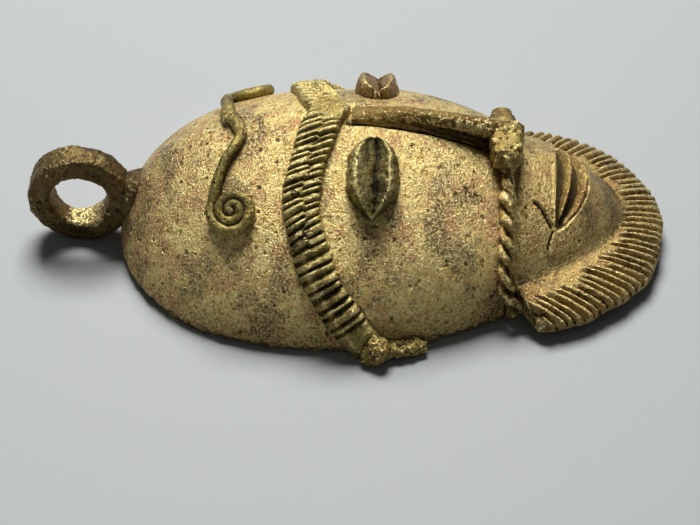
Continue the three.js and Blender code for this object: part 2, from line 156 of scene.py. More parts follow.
class PendantScroll(bpy.types.PropertyGroup):
    thread: length("Thread radius", "Radius of the laid thread", 0.7 * MM)
    sink: length("Sink", "How far the thread is pressed in", 0.08 * MM)
    radius: length("Coil radius", "From the middle of the coil to the middle of its outer turn", 3.05 * MM)
    core: length("Core radius", "The same at the end of the coil", 0.42 * MM)
    turns: number("Turns", "Turns of the coil", 2.15)
    start: turn("Start", "Where the coil starts, from the line towards the loop", 25)
    centre_x: length("Centre X", "Middle of the coil from the crest", 12.3 * MM)
    centre_y: length("Centre Y", "Middle of the coil along Y", 14.9 * MM)


class PendantBand(bpy.types.PropertyGroup):
    width: length("Width", "Width of the headband", 5.0 * MM)
    thickness: length("Thickness", "Height of the headband above the head", 1.5 * MM)
    crest: length("Crest", "Where it crosses the crest, along Y", 2.2 * MM)
    fine_pitch: length("Fine pitch", "Pitch of the slanted cuts on the brow", 1.08 * MM)
    coarse_pitch: length("Coarse pitch", "Pitch of the cuts on the temple", 1.36 * MM)
    cut: length("Cut", "Depth of the cuts", 0.62 * MM)
    slant: number("Slant", "Slope of the cuts across the band at the crest", 0.8)


class PendantFace(bpy.types.PropertyGroup):
    eye_turn: turn("Eye turn", "Middle of the eye round the section, from the left rim", 118.5)
    eye_y: length("Eye Y", "Middle of the eye along Y", -3.8 * MM)
    eye_length: length("Eye length", "Length of the slit pellet", 11.6 * MM)
    eye_width: length("Eye width", "Width of the slit pellet", 7.4 * MM)
    eye_height: length("Eye height", "Height of its lids", 2.4 * MM)
    eye_slit: length("Eye slit", "Depth of the slit", 2.0 * MM)
    nose_width: length("Nose width", "Width of the bar", 2.5 * MM)
    nose_start: length("Nose start", "Its start by the headband, along Y", -0.75 * MM)
    nose_end: length("Nose end", "Its tip, along Y", -24.4 * MM)
    nose_rise_start: length("Rise at the start", "Top of the bar above the crest", 0.6 * MM)
    nose_rise_end: length("Rise at the tip", "The same at its tip", 6.0 * MM)
    nostril_reach: length("Nostril reach", "Length of a nostril to the side", 3.7 * MM)
    nostril_hang: length("Nostril hang", "How much longer the right nostril is", 1.0 * MM)
    nostril_radius: length("Nostril radius", "Radius at the nose", 2.3 * MM)
    nostril_tip: length("Nostril tip radius", "Radius at its end", 1.5 * MM)
    nostril_back: length("Nostril back", "Its middle behind the tip of the nose", 2.7 * MM)
    nostril_drop: length("Nostril drop", "Its middle below the top of the nose", 1.9 * MM)
    ear_radius: length("Ear pellet radius", "Radius of the pellet on the rim", 2.0 * MM)
    ear_y: length("Ear Y", "Middle of the pellet along Y", -3.6 * MM)
    ear_out: length("Ear out", "Middle of the pellet beyond the rim", 1.2 * MM)
    ear_bar: length("Ear bar", "Length of the short bar", 6.9 * MM)
    ear_bar_reach: length("Ear bar reach", "How far it stands out", 2.2 * MM)
    ear_bar_thickness: length("Ear bar thickness", "Height of the bar", 1.9 * MM)


class PendantCord(bpy.types.PropertyGroup):
    strand: length("Strand radius", "Radius of one strand", 0.58 * MM)
    offset: length("Offset", "Middle of a strand from the middle of the cord", 0.66 * MM)
    lift: length("Lift", "Middle of the cord above the cheek", 0.85 * MM)
    pitch: length("Pitch", "Length of one whole twist", 4.9 * MM)
    start: turn("Start", "Start round the section", 101)
    end: turn("End", "End round the section", 172)


class PendantLips(bpy.types.PropertyGroup):
    reach: length("Reach", "From the crest of the chin to the corner of the mouth", 10.1 * MM)
    half_width: length("Half width", "Half the width of the mouth's lens", 2.45 * MM)
    back: length("Back", "Corners of the mouth behind the crease", 7.1 * MM)
    left: length("Left", "Middle of the mouth to the left of the crest", 0.6 * MM)
    tilt: number("Tilt", "How far the mouth leans across the face", 0.005)
    bow: length("Bow", "How far the mouth bows towards the chin", 2.42 * MM)
    depth: length("Depth", "Depth of the hollow that the lips lie in", 1.1 * MM)
    upper: number("Upper lip", "Its place across the mouth, from 1 at the upper edge to -1", 0.2)
    lower: number("Lower lip", "Its place across the mouth, from 1 at the upper edge to -1", -0.76)


class PendantMetal(bpy.types.PropertyGroup):
    # Worn brass is also the colour of the painted highlights on proud edges and, tinted, of the light specks
    # that paint glints
    gold: colour("Worn brass", "Where the cast surface is worn bright", (1.00, 0.825, 0.37))
    tan: colour("Brass", "The common colour of the cast surface", (0.72, 0.495, 0.15))
    olive: colour("Olive patina", "Grey-green patches", (0.25, 0.175, 0.075))
    copper: colour("Copper patches", "Where copper shows", (0.62, 0.315, 0.145))
    # Grime also paints the shade in hollows and in the creases beside other pieces
    grime_and_shade: colour("Grime and shade", "Dirt in pits and creases", (0.035, 0.026, 0.015))
    metallic: share("Metallic", "How far it reflects as bare metal", 0.88)


class PendantStudio(bpy.types.PropertyGroup):
    floor: colour("Floor", "The plain floor", (0.388, 0.408, 0.404))
    distance: length("Camera distance", "From the camera to the pendant", 330 * MM)
    azimuth: turn("Azimuth", "Where the camera stands, round the pendant", 271.97)
    elevation: turn("Elevation", "How high the camera stands", 41.7)
    roll: turn("Roll", "Roll of the camera", -0.41)
    lens: FloatProperty(name="Lens", description="Focal length on a 36 mm sensor", default=120, unit="CAMERA")
    overhead_power: FloatProperty(name="Overhead", description="Power of the large soft light", default=5.9,
                                  unit="POWER")
    world: number("World", "Strength of the light from all round", 0.08)


GROUPS = {
    "pendant_head": PendantHead,
    "pendant_chin": PendantChin,
    "pendant_beard": PendantBeard,
    "pendant_loop": PendantLoop,
    "pendant_scroll": PendantScroll,
    "pendant_band": PendantBand,
    "pendant_face": PendantFace,
    "pendant_cord": PendantCord,
    "pendant_lips": PendantLips,
    "pendant_metal": PendantMetal,
    "pendant_studio": PendantStudio,
}


# Surfaces of the head and the chin


# How full the head's outline and its crest are, towards the loop and towards the crease
OUTLINE_TO_LOOP = 2.5
OUTLINE_TO_CREASE = 1.88
CREST_TO_LOOP = 2.38
CREST_TO_CREASE = 1.91


class Dome:
    """A row of half sections across the pendant, |x / half width|^n + |z / height|^n = 1.

    A place on it is a turn round the section, 0 at the left rim and pi at the right, and a Y."""

    def __init__(self, half_width, height, bluntness):
        self.half_width = half_width
        self.height = height
        self.bluntness = bluntness

    def at(self, angle, y):
        angle, y = np.broadcast_arrays(np.asarray(angle, float), np.asarray(y, float))
        power = 2 / self.bluntness(y)
        across = np.cos(angle)
        up = np.abs(np.sin(angle))
        x = self.half_width(y) * np.sign(across) * np.abs(across) ** power
        return np.stack([x, y, self.height(y) * up ** power], -1)

    def out(self, angle, y):
        step = math.radians(0.4)
        reach = 0.2 * MM
        round_it = self.at(angle + step, y) - self.at(angle - step, y)
        along = self.at(angle, y + reach) - self.at(angle, y - reach)
        return unit(np.cross(along, round_it))

    def turn_at(self, x, y):
        """The turn at which the surface lies this far across the face."""
        part = min(1.0, abs(x) / float(self.half_width(y))) ** (float(self.bluntness(y)) / 2)
        return math.acos(math.copysign(part, x))

    def per_radian(self, angle, y):
        """Distance round the section that one radian of turn makes there."""
        step = math.radians(0.5)
        return float(np.linalg.norm(self.at(angle + step, y) - self.at(angle - step, y)) / (2 * step))

    def even_turns(self, part, y=0.0):
        """Turns that lie an even distance apart round the section, for shares from 0 to 1."""
        fine = np.linspace(0, math.pi, 721)
        walked = walk(self.at(fine, np.full_like(fine, y)))
        return np.interp(part * walked[-1], walked, fine)


def unit(vectors):
    """The same directions, each with a length of 1."""
    return vectors / np.maximum(np.linalg.norm(vectors, axis=-1, keepdims=True), 1e-12)


def walk(points):
    """Distance from the first point to each point, along the row."""
    return np.concatenate([[0], np.cumsum(np.linalg.norm(np.diff(points, axis=0), axis=1))])


def head_dome():
    """The outside of the head, from the loop's end to the crease."""
    head = bpy.context.scene.pendant_head
    half = head.width / 2
    narrowing = half - head.crease_width / 2
    lowering = head.height - head.crease_height

    def half_width(y):
        front = half * np.sqrt(np.clip(1 - np.abs(y / head.crown) ** OUTLINE_TO_LOOP, 0, None))
        back = half - narrowing * np.abs(y / head.crease) ** OUTLINE_TO_CREASE
        return np.where(y > 0, front, back)

    def height(y):
        front = head.height * np.sqrt(np.clip(1 - np.abs(y / head.crown) ** CREST_TO_LOOP, 0, None))
        back = head.height - lowering * np.abs(y / head.crease) ** CREST_TO_CREASE
        return np.where(y > 0, front, back)

    def bluntness(y):
        back = head.bluntness + (head.crease_bluntness - head.bluntness) * (-y / head.crease)
        return np.where(y > 0, head.bluntness, back)

    return Dome(half_width, height, bluntness)


def chin_dome():
    """The outside of the chin, a step lower, from the crease to the table."""
    head = bpy.context.scene.pendant_head
    chin = bpy.context.scene.pendant_chin
    tip_roundness = 0.55

    def along(y):
        return np.clip((-head.crease - y) / chin.reach, 0, 1)

    return Dome(
        lambda y: (head.crease_width / 2 - chin.gap) * (1 - along(y) ** 1.4) ** tip_roundness,
        lambda y: (head.crease_height - chin.step) * (1 - along(y) ** 2) ** tip_roundness,
        lambda y: np.full_like(np.asarray(y, float), chin.bluntness),
    )


class Line:
    """A line over a surface: points an even distance apart, the way out of it and the way across the line."""

    def __init__(self, points, outs, steps):
        walked = walk(points)
        self.length = float(walked[-1])
        even = np.linspace(0, self.length, steps + 1)
        self.points = np.stack([np.interp(even, walked, points[:, axis]) for axis in range(3)], -1)
        outs = np.stack([np.interp(even, walked, outs[:, axis]) for axis in range(3)], -1)
        self.along = unit(np.gradient(self.points, axis=0))
        self.across = unit(np.cross(self.along, outs))
        self.outs = unit(np.cross(self.across, self.along))
        self.steps = steps

    def ease(self, reach):
        """Rounds the line off over a reach on both sides, as a strip that is laid over an edge."""
        count = max(3, int(reach / self.length * self.steps)) | 1
        weights = np.hanning(count + 2)[1:-1]
        weights /= weights.sum()
        for values in (self.points, self.across, self.outs):
            before = np.repeat(values[:1], count // 2, 0)
            after = np.repeat(values[-1:], count // 2, 0)
            padded = np.vstack([before, values, after])
            for axis in range(3):
                values[:, axis] = np.convolve(padded[:, axis], weights, "valid")
        self.across = unit(self.across)
        self.outs = unit(self.outs)

    def lay(self, side, part, up):
        """Where places of a straight strip come to lie, from their side, share of the length and height."""
        index = np.clip(part, 0, 1) * self.steps
        low = np.minimum(index.astype(int), self.steps - 1)
        mix = (index - low)[:, None]

        def here(values):
            return values[low] * (1 - mix) + values[low + 1] * mix

        return here(self.points) + here(self.across) * side[:, None] + here(self.outs) * up[:, None]


def smooth_curve(knots, per_span=24):
    """A curve that passes through all the knots, as rows of coordinates."""
    knots = np.asarray(knots, float)
    padded = np.vstack([2 * knots[0] - knots[1], knots, 2 * knots[-1] - knots[-2]])
    rows = []
    for span in range(len(knots) - 1):
        before, start, end, after = padded[span:span + 4]
        for step in np.linspace(0, 1, per_span, endpoint=False):
            rows.append(0.5 * (2 * start + (end - before) * step
                               + (2 * before - 5 * start + 4 * end - after) * step ** 2
                               + (3 * start - before - 3 * end + after) * step ** 3))
    rows.append(knots[-1])
    return np.array(rows)


def line_on(dome, places, steps):
    """A line over a dome, through places given as turns and Ys."""
    curve = smooth_curve(places)
    return Line(dome.at(curve[:, 0], curve[:, 1]), dome.out(curve[:, 0], curve[:, 1]), steps)


# Working the wax


def deselect():
    if bpy.context.object and bpy.context.object.mode != "OBJECT":
        bpy.ops.object.mode_set(mode="OBJECT")
    bpy.ops.object.select_all(action="DESELECT")


def pick(piece, *others):
    """Selects a piece, and others with it, and makes the first one active."""
    deselect()
    for thing in (piece, *others):
        thing.select_set(True)
    bpy.context.view_layer.objects.active = piece


@contextmanager
def edit_mode(piece):
    """Edit mode with the whole piece selected."""
    pick(piece)
    bpy.ops.object.mode_set(mode="EDIT")
    bpy.ops.mesh.select_mode(type="VERT")
    bpy.ops.mesh.select_all(action="SELECT")
    yield
    bpy.ops.object.mode_set(mode="OBJECT")


def named(name):
    """Names the primitive that was just added, and sets its place in its mesh."""
    piece = bpy.context.active_object
    piece.name = name
    piece.data.name = name
    bpy.ops.object.transform_apply(location=True, rotation=True, scale=True)
    return piece


def rolled_sheet(name, columns, rows):
    """A flat sheet, from 0 to 1 along X and along Y."""
    deselect()
    bpy.ops.mesh.primitive_grid_add(x_subdivisions=columns, y_subdivisions=rows, size=1,
                                    location=(0.5, 0.5, 0))
    return named(name)


def rolled_thread(name, sides, cuts):
    """A straight round thread of radius 1, from 0 to 1 along Y: a sheet rolled up and closed at both ends."""
    piece = rolled_sheet(name, sides, cuts)

    def roll(flat):
        angle = 2 * math.pi * flat[:, 0]
        return np.stack([np.cos(angle), flat[:, 1], np.sin(angle)], -1)

    shape(piece, roll)
    with edit_mode(piece):
        bpy.ops.mesh.remove_doubles(threshold=1e-5)
        bpy.ops.mesh.select_all(action="DESELECT")
        bpy.ops.mesh.select_non_manifold()
        bpy.ops.mesh.fill_holes(sides=0)
        bpy.ops.mesh.select_all(action="SELECT")
        bpy.ops.mesh.normals_make_consistent(inside=False)
    return piece


def points_of(piece):
    flat = np.empty(len(piece.data.vertices) * 3, np.float32)
    piece.data.vertices.foreach_get("co", flat)
    return flat.reshape(-1, 3).astype(float)


def set_points(piece, points):
    piece.data.vertices.foreach_set("co", np.asarray(points, np.float32).ravel())
    piece.data.update()


def shape(piece, rule):
    """Bends a flat or straight piece: the rule takes and gives rows of coordinates."""
    set_points(piece, rule(points_of(piece)))


def close_up(piece):
    """Joins what touches and turns the faces outwards."""
    with edit_mode(piece):
        bpy.ops.mesh.remove_doubles(threshold=0.004 * MM)
        bpy.ops.mesh.normals_make_consistent(inside=False)


def face_outwards(piece):
    """Turns an open sheet so that its faces look away from the middle of the pendant."""
    inside = Vector((0, 0, -5 * MM))
    outward = sum((face.center - inside).dot(face.normal) * face.area for face in piece.data.polygons)
    if outward < 0:
        with edit_mode(piece):
            bpy.ops.mesh.flip_normals()


def keep_inside(points):
    """Keeps points above the plane that the pendant rests on, and inside its size."""
    return np.clip(points, np.array(LOWEST), np.array(HIGHEST))


def apply_modifier(piece, kind, **values):
    pick(piece)
    modifier = piece.modifiers.new(kind.title(), kind)
    for key, value in values.items():
        setattr(modifier, key, value)
    bpy.ops.object.modifier_apply(modifier=modifier.name)


def fuse(piece, other, voxel, smoothing, rounds):
    """Works two pieces of wax into one lump."""
    pick(piece, other)
    bpy.ops.object.join()
    apply_modifier(piece, "REMESH", mode="VOXEL", voxel_size=voxel)
    apply_modifier(piece, "SMOOTH", factor=smoothing, iterations=rounds)


def lump_texture(size):
    """Soft noise with lumps of a size in millimetres."""
    name = f"lumps_{size}"
    texture = bpy.data.textures.get(name)
    if texture is None:
        texture = bpy.data.textures.new(name, "CLOUDS")
        texture.noise_scale = size * MM
        texture.noise_depth = 2
    return texture


def dent(piece, strength, sizes, shares, keep=None):
    """Hand-made lumps and the grain of the mould, as real relief. keep is how much of it each point gets."""
    before = points_of(piece)
    for size, part in zip(sizes, shares):
        apply_modifier(piece, "DISPLACE", texture=lump_texture(size), texture_coords="LOCAL",
                       strength=strength * part * 2, mid_level=0.5)
    after = points_of(piece)
    if keep is not None:
        after = before + (after - before) * keep[:, None]
    set_points(piece, keep_inside(after))


def both_sides(piece):
    """A piece of the right side and its mirror image on the left, each with the word for its side."""
    pick(piece)
    bpy.ops.object.duplicate()
    other = bpy.context.active_object
    other.name = other.data.name = piece.name.replace("right", "left")
    shape(other, lambda points: points * [-1, 1, 1])
    with edit_mode(other):
        bpy.ops.mesh.flip_normals()
    return (piece, "right"), (other, "left")


def place_piece(piece, node, finish):
    """Gives a finished piece its metal, and its place in the frame."""
    pick(piece)
    bpy.ops.object.shade_smooth()
    piece.data.materials.clear()
    piece.data.materials.append(brass(finish))
    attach(piece, "root")
    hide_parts(node)


def rounded(angle, half_side, half_up, power):
    """A section between an ellipse, with a power of 1, and a box, with a small power."""
    side = half_side * np.sign(np.cos(angle)) * np.abs(np.cos(angle)) ** power
    up = half_up * np.sign(np.sin(angle)) * np.abs(np.sin(angle)) ** power
    return side, up


def even_section(part, bottom=0.3, power=0.5):
    """Side and height of a rounded box of half width 1 and height 1, evenly spaced for shares from 0 to 1."""
    fine = np.linspace(0, 2 * math.pi, 1441)
    side = np.sign(np.cos(fine)) * np.abs(np.cos(fine)) ** power
    up = np.sign(np.sin(fine)) * np.abs(np.sin(fine)) ** power
    up = np.where(up > 0, up, up * bottom)
    walked = np.concatenate([[0], np.cumsum(np.hypot(np.diff(side), np.diff(up)))])
    return np.interp(part * walked[-1], walked, side), np.interp(part * walked[-1], walked, up)


def round_part(thread_points):
    """Share of the way round a straight thread, from 0 to 1."""
    return np.mod(np.arctan2(thread_points[:, 2], thread_points[:, 0]) / (2 * math.pi), 1)


def uneven(numbers, salt=0.0):
    """A value from 0 to 1 that differs from number to number, as hand work does."""
    return np.mod(np.sin(numbers * 12.9898 + salt * 78.233) * 43758.5453, 1)


def smooth_step(low, high, values):
    """0 at low and 1 at high, with a soft run between them. It falls where low is the larger one."""
    part = np.clip((values - low) / (high - low), 0, 1)
    return part * part * (3 - 2 * part)


# Metal


class Nodes:
    """Adds nodes to one tree, and links what it is given."""

    def __init__(self, tree):
        self.tree = tree

    def add(self, kind, inputs=None, output=0, **values):
        node = self.tree.nodes.new(kind)
        for key, value in values.items():
            setattr(node, key, value)
        for key, value in (inputs or {}).items():
            self.feed(node.inputs[key], value)
        return node.outputs[output]

    def feed(self, socket, value):
        if isinstance(value, bpy.types.NodeSocket):
            self.tree.links.new(value, socket)
        elif isinstance(value, (tuple, list)) and len(value) == 3 and socket.type == "RGBA":
            socket.default_value = (*value, 1)
        else:
            socket.default_value = value

    def math(self, operation, first, second, clamp=False):
        return self.add("ShaderNodeMath", {0: first, 1: second}, operation=operation, use_clamp=clamp)

    def plus(self, first, second):
        return self.math("ADD", first, second)

    def minus(self, first, second):
        return self.math("SUBTRACT", first, second)

    def times(self, first, second):
        return self.math("MULTIPLY", first, second)

    def most(self, first, second):
        return self.math("MAXIMUM", first, second)

    def mix(self, factor, first, second, blend="MIX"):
        return self.add("ShaderNodeMix", {0: factor, 6: first, 7: second}, 2, data_type="RGBA",
                        blend_type=blend, clamp_factor=True)

    def mask(self, value, low, high):
        return self.add("ShaderNodeMapRange", {0: value, 1: low, 2: high, 3: 0.0, 4: 1.0},
                        interpolation_type="SMOOTHSTEP")

    def noise(self, place, scale, detail, roughness):
        return self.add("ShaderNodeTexNoise",
                        {"Vector": place, "Scale": scale, "Detail": detail, "Roughness": roughness})

    def cells(self, place, scale, output="Distance"):
        return self.add("ShaderNodeTexVoronoi", {"Vector": place, "Scale": scale}, output, feature="F1")


def cast_surface():
    """The sandy, pitted and patinated surface of the casting, with painted highlights and painted shade, as a
    node group.
    """
    tree = bpy.data.node_groups.get("cast_surface")
    if tree:
        return tree
    tree = bpy.data.node_groups.new("cast_surface", "ShaderNodeTree")
    sockets = (
        ("INPUT", "NodeSocketColor", ("Worn", "Bright", "Common", "Olive", "Copper", "Grime and shade")),
        ("INPUT", "NodeSocketFloat",
         ("Olive amount", "Copper amount", "Wear", "Pits", "Grain", "Dirt and shade", "Rim")),
        ("OUTPUT", "NodeSocketColor", ("Color",)),
        ("OUTPUT", "NodeSocketFloat", ("Roughness", "Height")),
    )
    for way, kind, names in sockets:
        for name in names:
            tree.interface.new_socket(name, in_out=way, socket_type=kind)

    n = Nodes(tree)
    given = tree.nodes.new("NodeGroupInput").outputs
    place = n.add("ShaderNodeTexCoord", output="Object")
    along = n.add("ShaderNodeSeparateXYZ", {0: place}, "Y")
    above = n.add("ShaderNodeSeparateXYZ", {0: place}, "Z")
    relief = n.add("ShaderNodeAttribute", output="Fac", attribute_name="relief")
    crease = n.add("ShaderNodeAttribute", output="Fac", attribute_name="crease")

    # Scales are in lumps to the metre
    broad = n.noise(place, 130, 4, 0.65)
    patches = n.noise(place, 330, 4, 0.65)
    spots = n.noise(place, 1000, 3, 0.6)
    grain = n.noise(place, 3300, 2, 0.7)
    fine = n.noise(place, 7600, 2, 0.6)
    jitter = n.add("ShaderNodeTexNoise", {"Vector": place, "Scale": 1500}, "Color")
    jitter_reach = (0.9 * MM, 0.9 * MM, 0.9 * MM)
    jitter = n.add("ShaderNodeVectorMath", {0: jitter, 1: jitter_reach}, operation="MULTIPLY")
    shaken = n.add("ShaderNodeVectorMath", {0: place, 1: jitter})
    pit_scale = 820
    pit_place = n.cells(shaken, pit_scale)
    pit_size = n.cells(shaken, pit_scale, "Color")
    sand = n.add("ShaderNodeSeparateColor", {0: n.cells(shaken, 3900, "Color")}, "Red")

    # Patches of patina, with copper at the crown and beside the crease; and the surface goes olive and brown,
    # darker, towards the rim
    mottle = n.plus(n.times(spots, 0.5), n.times(grain, 0.5))
    body = n.mix(n.mask(mottle, 0.40, 0.60), given["Common"], given["Bright"])
    by_crown = n.mask(along, 8 * MM, 34 * MM)
    by_crease = n.times(n.mask(along, -17.5 * MM, -21.5 * MM), n.mask(along, -22.4 * MM, -22.1 * MM))
    reddest = n.most(n.times(by_crown, 0.07), n.times(by_crease, 0.12))
    copper = n.plus(patches, n.plus(n.times(broad, 0.4), reddest))
    body = n.mix(n.times(n.mask(copper, 0.68, 0.82), given["Copper amount"]), body, given["Copper"])
    olive = n.mask(n.plus(broad, n.times(spots, 0.25)), 0.62, 0.74)
    body = n.mix(n.times(olive, given["Olive amount"]), body, given["Olive"])
    rim = n.mask(n.plus(above, n.times(patches, 6 * MM)), 8.5 * MM, 1.5 * MM)
    rim = n.times(rim, given["Rim"])
    rim_brown = (0.27, 0.14, 0.06)
    body = n.mix(rim, body, n.mix(n.mask(spots, 0.42, 0.58), rim_brown, given["Olive"]))

    # Sand grain: light specks that also paint glints, and dark specks that also paint the shade of the
    # grain's bumps
    light = n.most(n.mask(grain, 0.50, 0.63), n.mask(sand, 0.74, 0.82))
    light = n.times(light, given["Grain"])
    speckled = n.mix(light, body, n.mix(0.6, body, given["Bright"]))
    dark = n.most(n.mask(fine, 0.45, 0.33), n.mask(sand, 0.16, 0.08))
    dark = n.times(n.times(dark, 0.8), given["Grain"])
    speckled = n.mix(dark, speckled, n.mix(1.0, body, (0.36, 0.30, 0.22), "MULTIPLY"))

    # Wear and painted highlight on what stands proud, and dirt and painted shade in what lies low and beside
    # other pieces
    proud = n.plus(n.times(relief, 0.62), n.times(grain, 0.9))
    worn_and_highlight = n.times(n.mask(proud, 0.90, 1.18), given["Wear"])
    low = n.mask(relief, -0.05, -0.75)
    near = n.mask(n.plus(crease, n.times(spots, 0.6)), 0.98, 1.40)
    pit = n.times(n.mask(pit_place, 0.34, 0.14), n.mask(pit_size, 0.56, 0.80))
    pit = n.times(pit, given["Pits"])
    dirt_and_shade_mask = n.most(n.times(n.most(low, near), given["Dirt and shade"]), pit)
    colours = n.mix(dirt_and_shade_mask, n.mix(worn_and_highlight, speckled, given["Worn"]), given["Grime and shade"])

    rough = n.minus(0.42, n.times(light, 0.07))
    rough = n.math("ADD", rough, n.times(n.most(dirt_and_shade_mask, rim), 0.25), clamp=True)
    height = n.plus(n.plus(n.times(grain, 1.1), n.times(fine, 0.5)), n.times(spots, 0.9))
    height = n.minus(n.minus(height, n.times(dark, 0.35)), n.times(pit, 1.5))
    result = tree.nodes.new("NodeGroupOutput")
    for name, value in (("Color", colours), ("Roughness", rough), ("Height", height)):
        n.feed(result.inputs[name], value)
    return tree


# The finishes of the casting. A tint is laid over its common colours, and what is worn bright or painted as
# highlight keeps its own.
# The other values are shares of each effect, and bump is the depth of the grain in millimetres.
PLAIN = {"tint": (1, 1, 1), "olive": 0.5, "copper": 0.5, "wear_and_highlight": 0.6, "pits": 0.8, "grain": 0.9, "dirt_and_shade": 0.9,
         "rim": 0.0, "bump": 0.17}
FINISHES = {
    "shell": {"olive": 0.9, "copper": 0.85, "wear_and_highlight": 0.4, "grain": 1.0, "rim": 0.68, "bump": 0.20},
    # The chin and the beard are tinted darker than the head: partly a browner colour, partly painted shade,
    # as the light falls off towards the chin
    "chin": {"tint": (0.72, 0.69, 0.65), "olive": 0.9, "copper": 0.7, "wear_and_highlight": 0.4, "rim": 0.5, "bump": 0.16},
    "laid": {"tint": (0.62, 0.56, 0.45), "olive": 0.4, "copper": 1.0, "wear_and_highlight": 1.0, "pits": 0.5, "bump": 0.2},
    # The nose's dark tint is partly its colour and partly painted shade on its side wall
    "nose": {"tint": (0.35, 0.31, 0.24), "copper": 0.7, "wear_and_highlight": 1.0, "pits": 0.4, "grain": 0.6, "bump": 0.19},
    "knob": {"tint": (0.45, 0.45, 0.35), "olive": 0.9, "copper": 0.4, "wear_and_highlight": 1.0, "pits": 0.0, "grain": 0.35,
             "bump": 0.15},
    "beard": {"tint": (0.66, 0.62, 0.57), "olive": 0.8, "copper": 0.7, "wear_and_highlight": 1.0, "pits": 0.4, "dirt_and_shade": 1.0,
              "rim": 0.4},
    "copper": {"tint": (0.50, 0.42, 0.42), "olive": 0.2, "copper": 1.0, "bump": 0.12},
    "green": {"tint": (0.46, 0.47, 0.34), "olive": 0.8, "copper": 0.3, "wear_and_highlight": 0.9, "bump": 0.13},
    "band": {"tint": (0.60, 0.62, 0.51), "olive": 1.0, "copper": 0.3, "wear_and_highlight": 1.0, "dirt_and_shade": 0.72,
             "bump": 0.18},
    "cord": {"tint": (0.50, 0.46, 0.36), "olive": 0.6, "wear_and_highlight": 1.0, "bump": 0.16},
    "dark": {"tint": (0.38, 0.42, 0.37), "olive": 0.7, "copper": 0.4, "wear_and_highlight": 0.5, "grain": 0.8,
             "bump": 0.12},
    # The loop's dark tint is partly patina and partly painted shade on its face that the lamp does not reach
    "dark_and_shaded": {"tint": (0.24, 0.225, 0.20), "olive": 0.8, "copper": 0.6, "wear_and_highlight": 1.0, "grain": 0.5,
              "bump": 0.12},
}


def brass(finish):
    """The material of one finish."""
    material = bpy.data.materials.get("brass_" + finish)
    if material:
        return material
    values = {**PLAIN, **FINISHES[finish]}
    metal = bpy.context.scene.pendant_metal
    material = bpy.data.materials.new("brass_" + finish)
    material.use_nodes = True
    tree = material.node_tree
    shader = tree.nodes["Principled BSDF"]
    group = tree.nodes.new("ShaderNodeGroup")
    group.node_tree = cast_surface()
    n = Nodes(tree)

    def tinted(base):
        return tuple(value * part for value, part in zip(base, values["tint"]))

    inputs = {"Worn": tuple(metal.gold), "Bright": tinted(metal.gold), "Common": tinted(metal.tan),
              "Olive": tinted(metal.olive), "Copper": tinted(metal.copper), "Grime and shade": tuple(metal.grime_and_shade),
              "Olive amount": values["olive"], "Copper amount": values["copper"], "Wear": values["wear_and_highlight"],
              "Pits": values["pits"], "Grain": values["grain"], "Dirt and shade": values["dirt_and_shade"], "Rim": values["rim"]}
    for name, value in inputs.items():
        n.feed(group.inputs[name], value)
    bump = n.add("ShaderNodeBump", {"Strength": 1.0, "Distance": values["bump"] * MM,
                                    "Height": group.outputs["Height"]})
    n.feed(shader.inputs["Base Color"], group.outputs["Color"])
    n.feed(shader.inputs["Roughness"], group.outputs["Roughness"])
    n.feed(shader.inputs["Normal"], bump)
    shader.inputs["Metallic"].default_value = metal.metallic
    return material


# Pieces


class PENDANT_OT_head(bpy.types.Operator):
    """Hollow head: a sheet laid over the core, with a wall"""

    bl_idname = "pendant.head"
    bl_label = "Head"

    def execute(self, context):
        head = context.scene.pendant_head
        dome = head_dome()
        sheet = rolled_sheet("head", 240, 190)
        back_share = 0.34
        trench_width = 0.44 * MM
        beside_nose = 0.25 * MM
        tuck_height = 1.6 * MM
        tuck = [0.028, 0.02, 0]

        def cover(flat):
            ahead = np.clip((flat[:, 1] - back_share) / (1 - back_share), 0, 1)
            behind = np.clip(flat[:, 1] / back_share, 0, 1)
            y = np.where(flat[:, 1] > back_share, head.crown * np.sin(math.pi / 2 * ahead),
                         -head.crease * (1 - behind))
            points = dome.at(dome.even_turns(1 - flat[:, 0]), y)
            foot = nose_half_width(y, 0.35) + beside_nose
            trench = np.exp(-((np.abs(points[:, 0]) - foot) / trench_width) ** 2)
            trench *= smooth_step(0.5 * MM, -0.5 * MM, y) * smooth_step(-20.5 * MM, -17 * MM, y)
            points[:, 2] -= head.trench * trench
            tucked = smooth_step(tuck_height, 0.0, points[:, 2])[:, None]
            return points * (1 - tucked * tuck)

        shape(sheet, cover)
        close_up(sheet)
        face_outwards(sheet)
        points = points_of(sheet)
        off_crown = smooth_step(head.crown, head.crown - 4 * MM, points[:, 1])
        dent(sheet, head.relief, sizes=(8, 2.6, 1.0), shares=(1.0, 0.45, 0.55), keep=off_crown)
        by_rim = smooth_step(3.5 * MM, 1.0 * MM, points[:, 2]) * off_crown
        dent(sheet, head.rim_relief, sizes=(2.2, 1.0, 0.6), shares=(0.8, 0.8, 0.6), keep=by_rim)
        apply_modifier(sheet, "SOLIDIFY", thickness=head.wall, offset=-1)
        shape(sheet, ragged_rim)
        shape(sheet, keep_inside)
        place_piece(sheet, "head_shell", "shell")
        return {"FINISHED"}


def ragged_rim(points):
    """Lifts the lower edge off the table here and there."""
    y = points[:, 1] / MM
    gap = 0.26 + 0.14 * np.sin(y * 1.3) + 0.12 * np.sin(y * 3.1 + 1) + 0.12 * np.sin(y * 6.3)
    points[:, 2] = np.maximum(points[:, 2], np.clip(gap, 0, None) * MM)
    return points


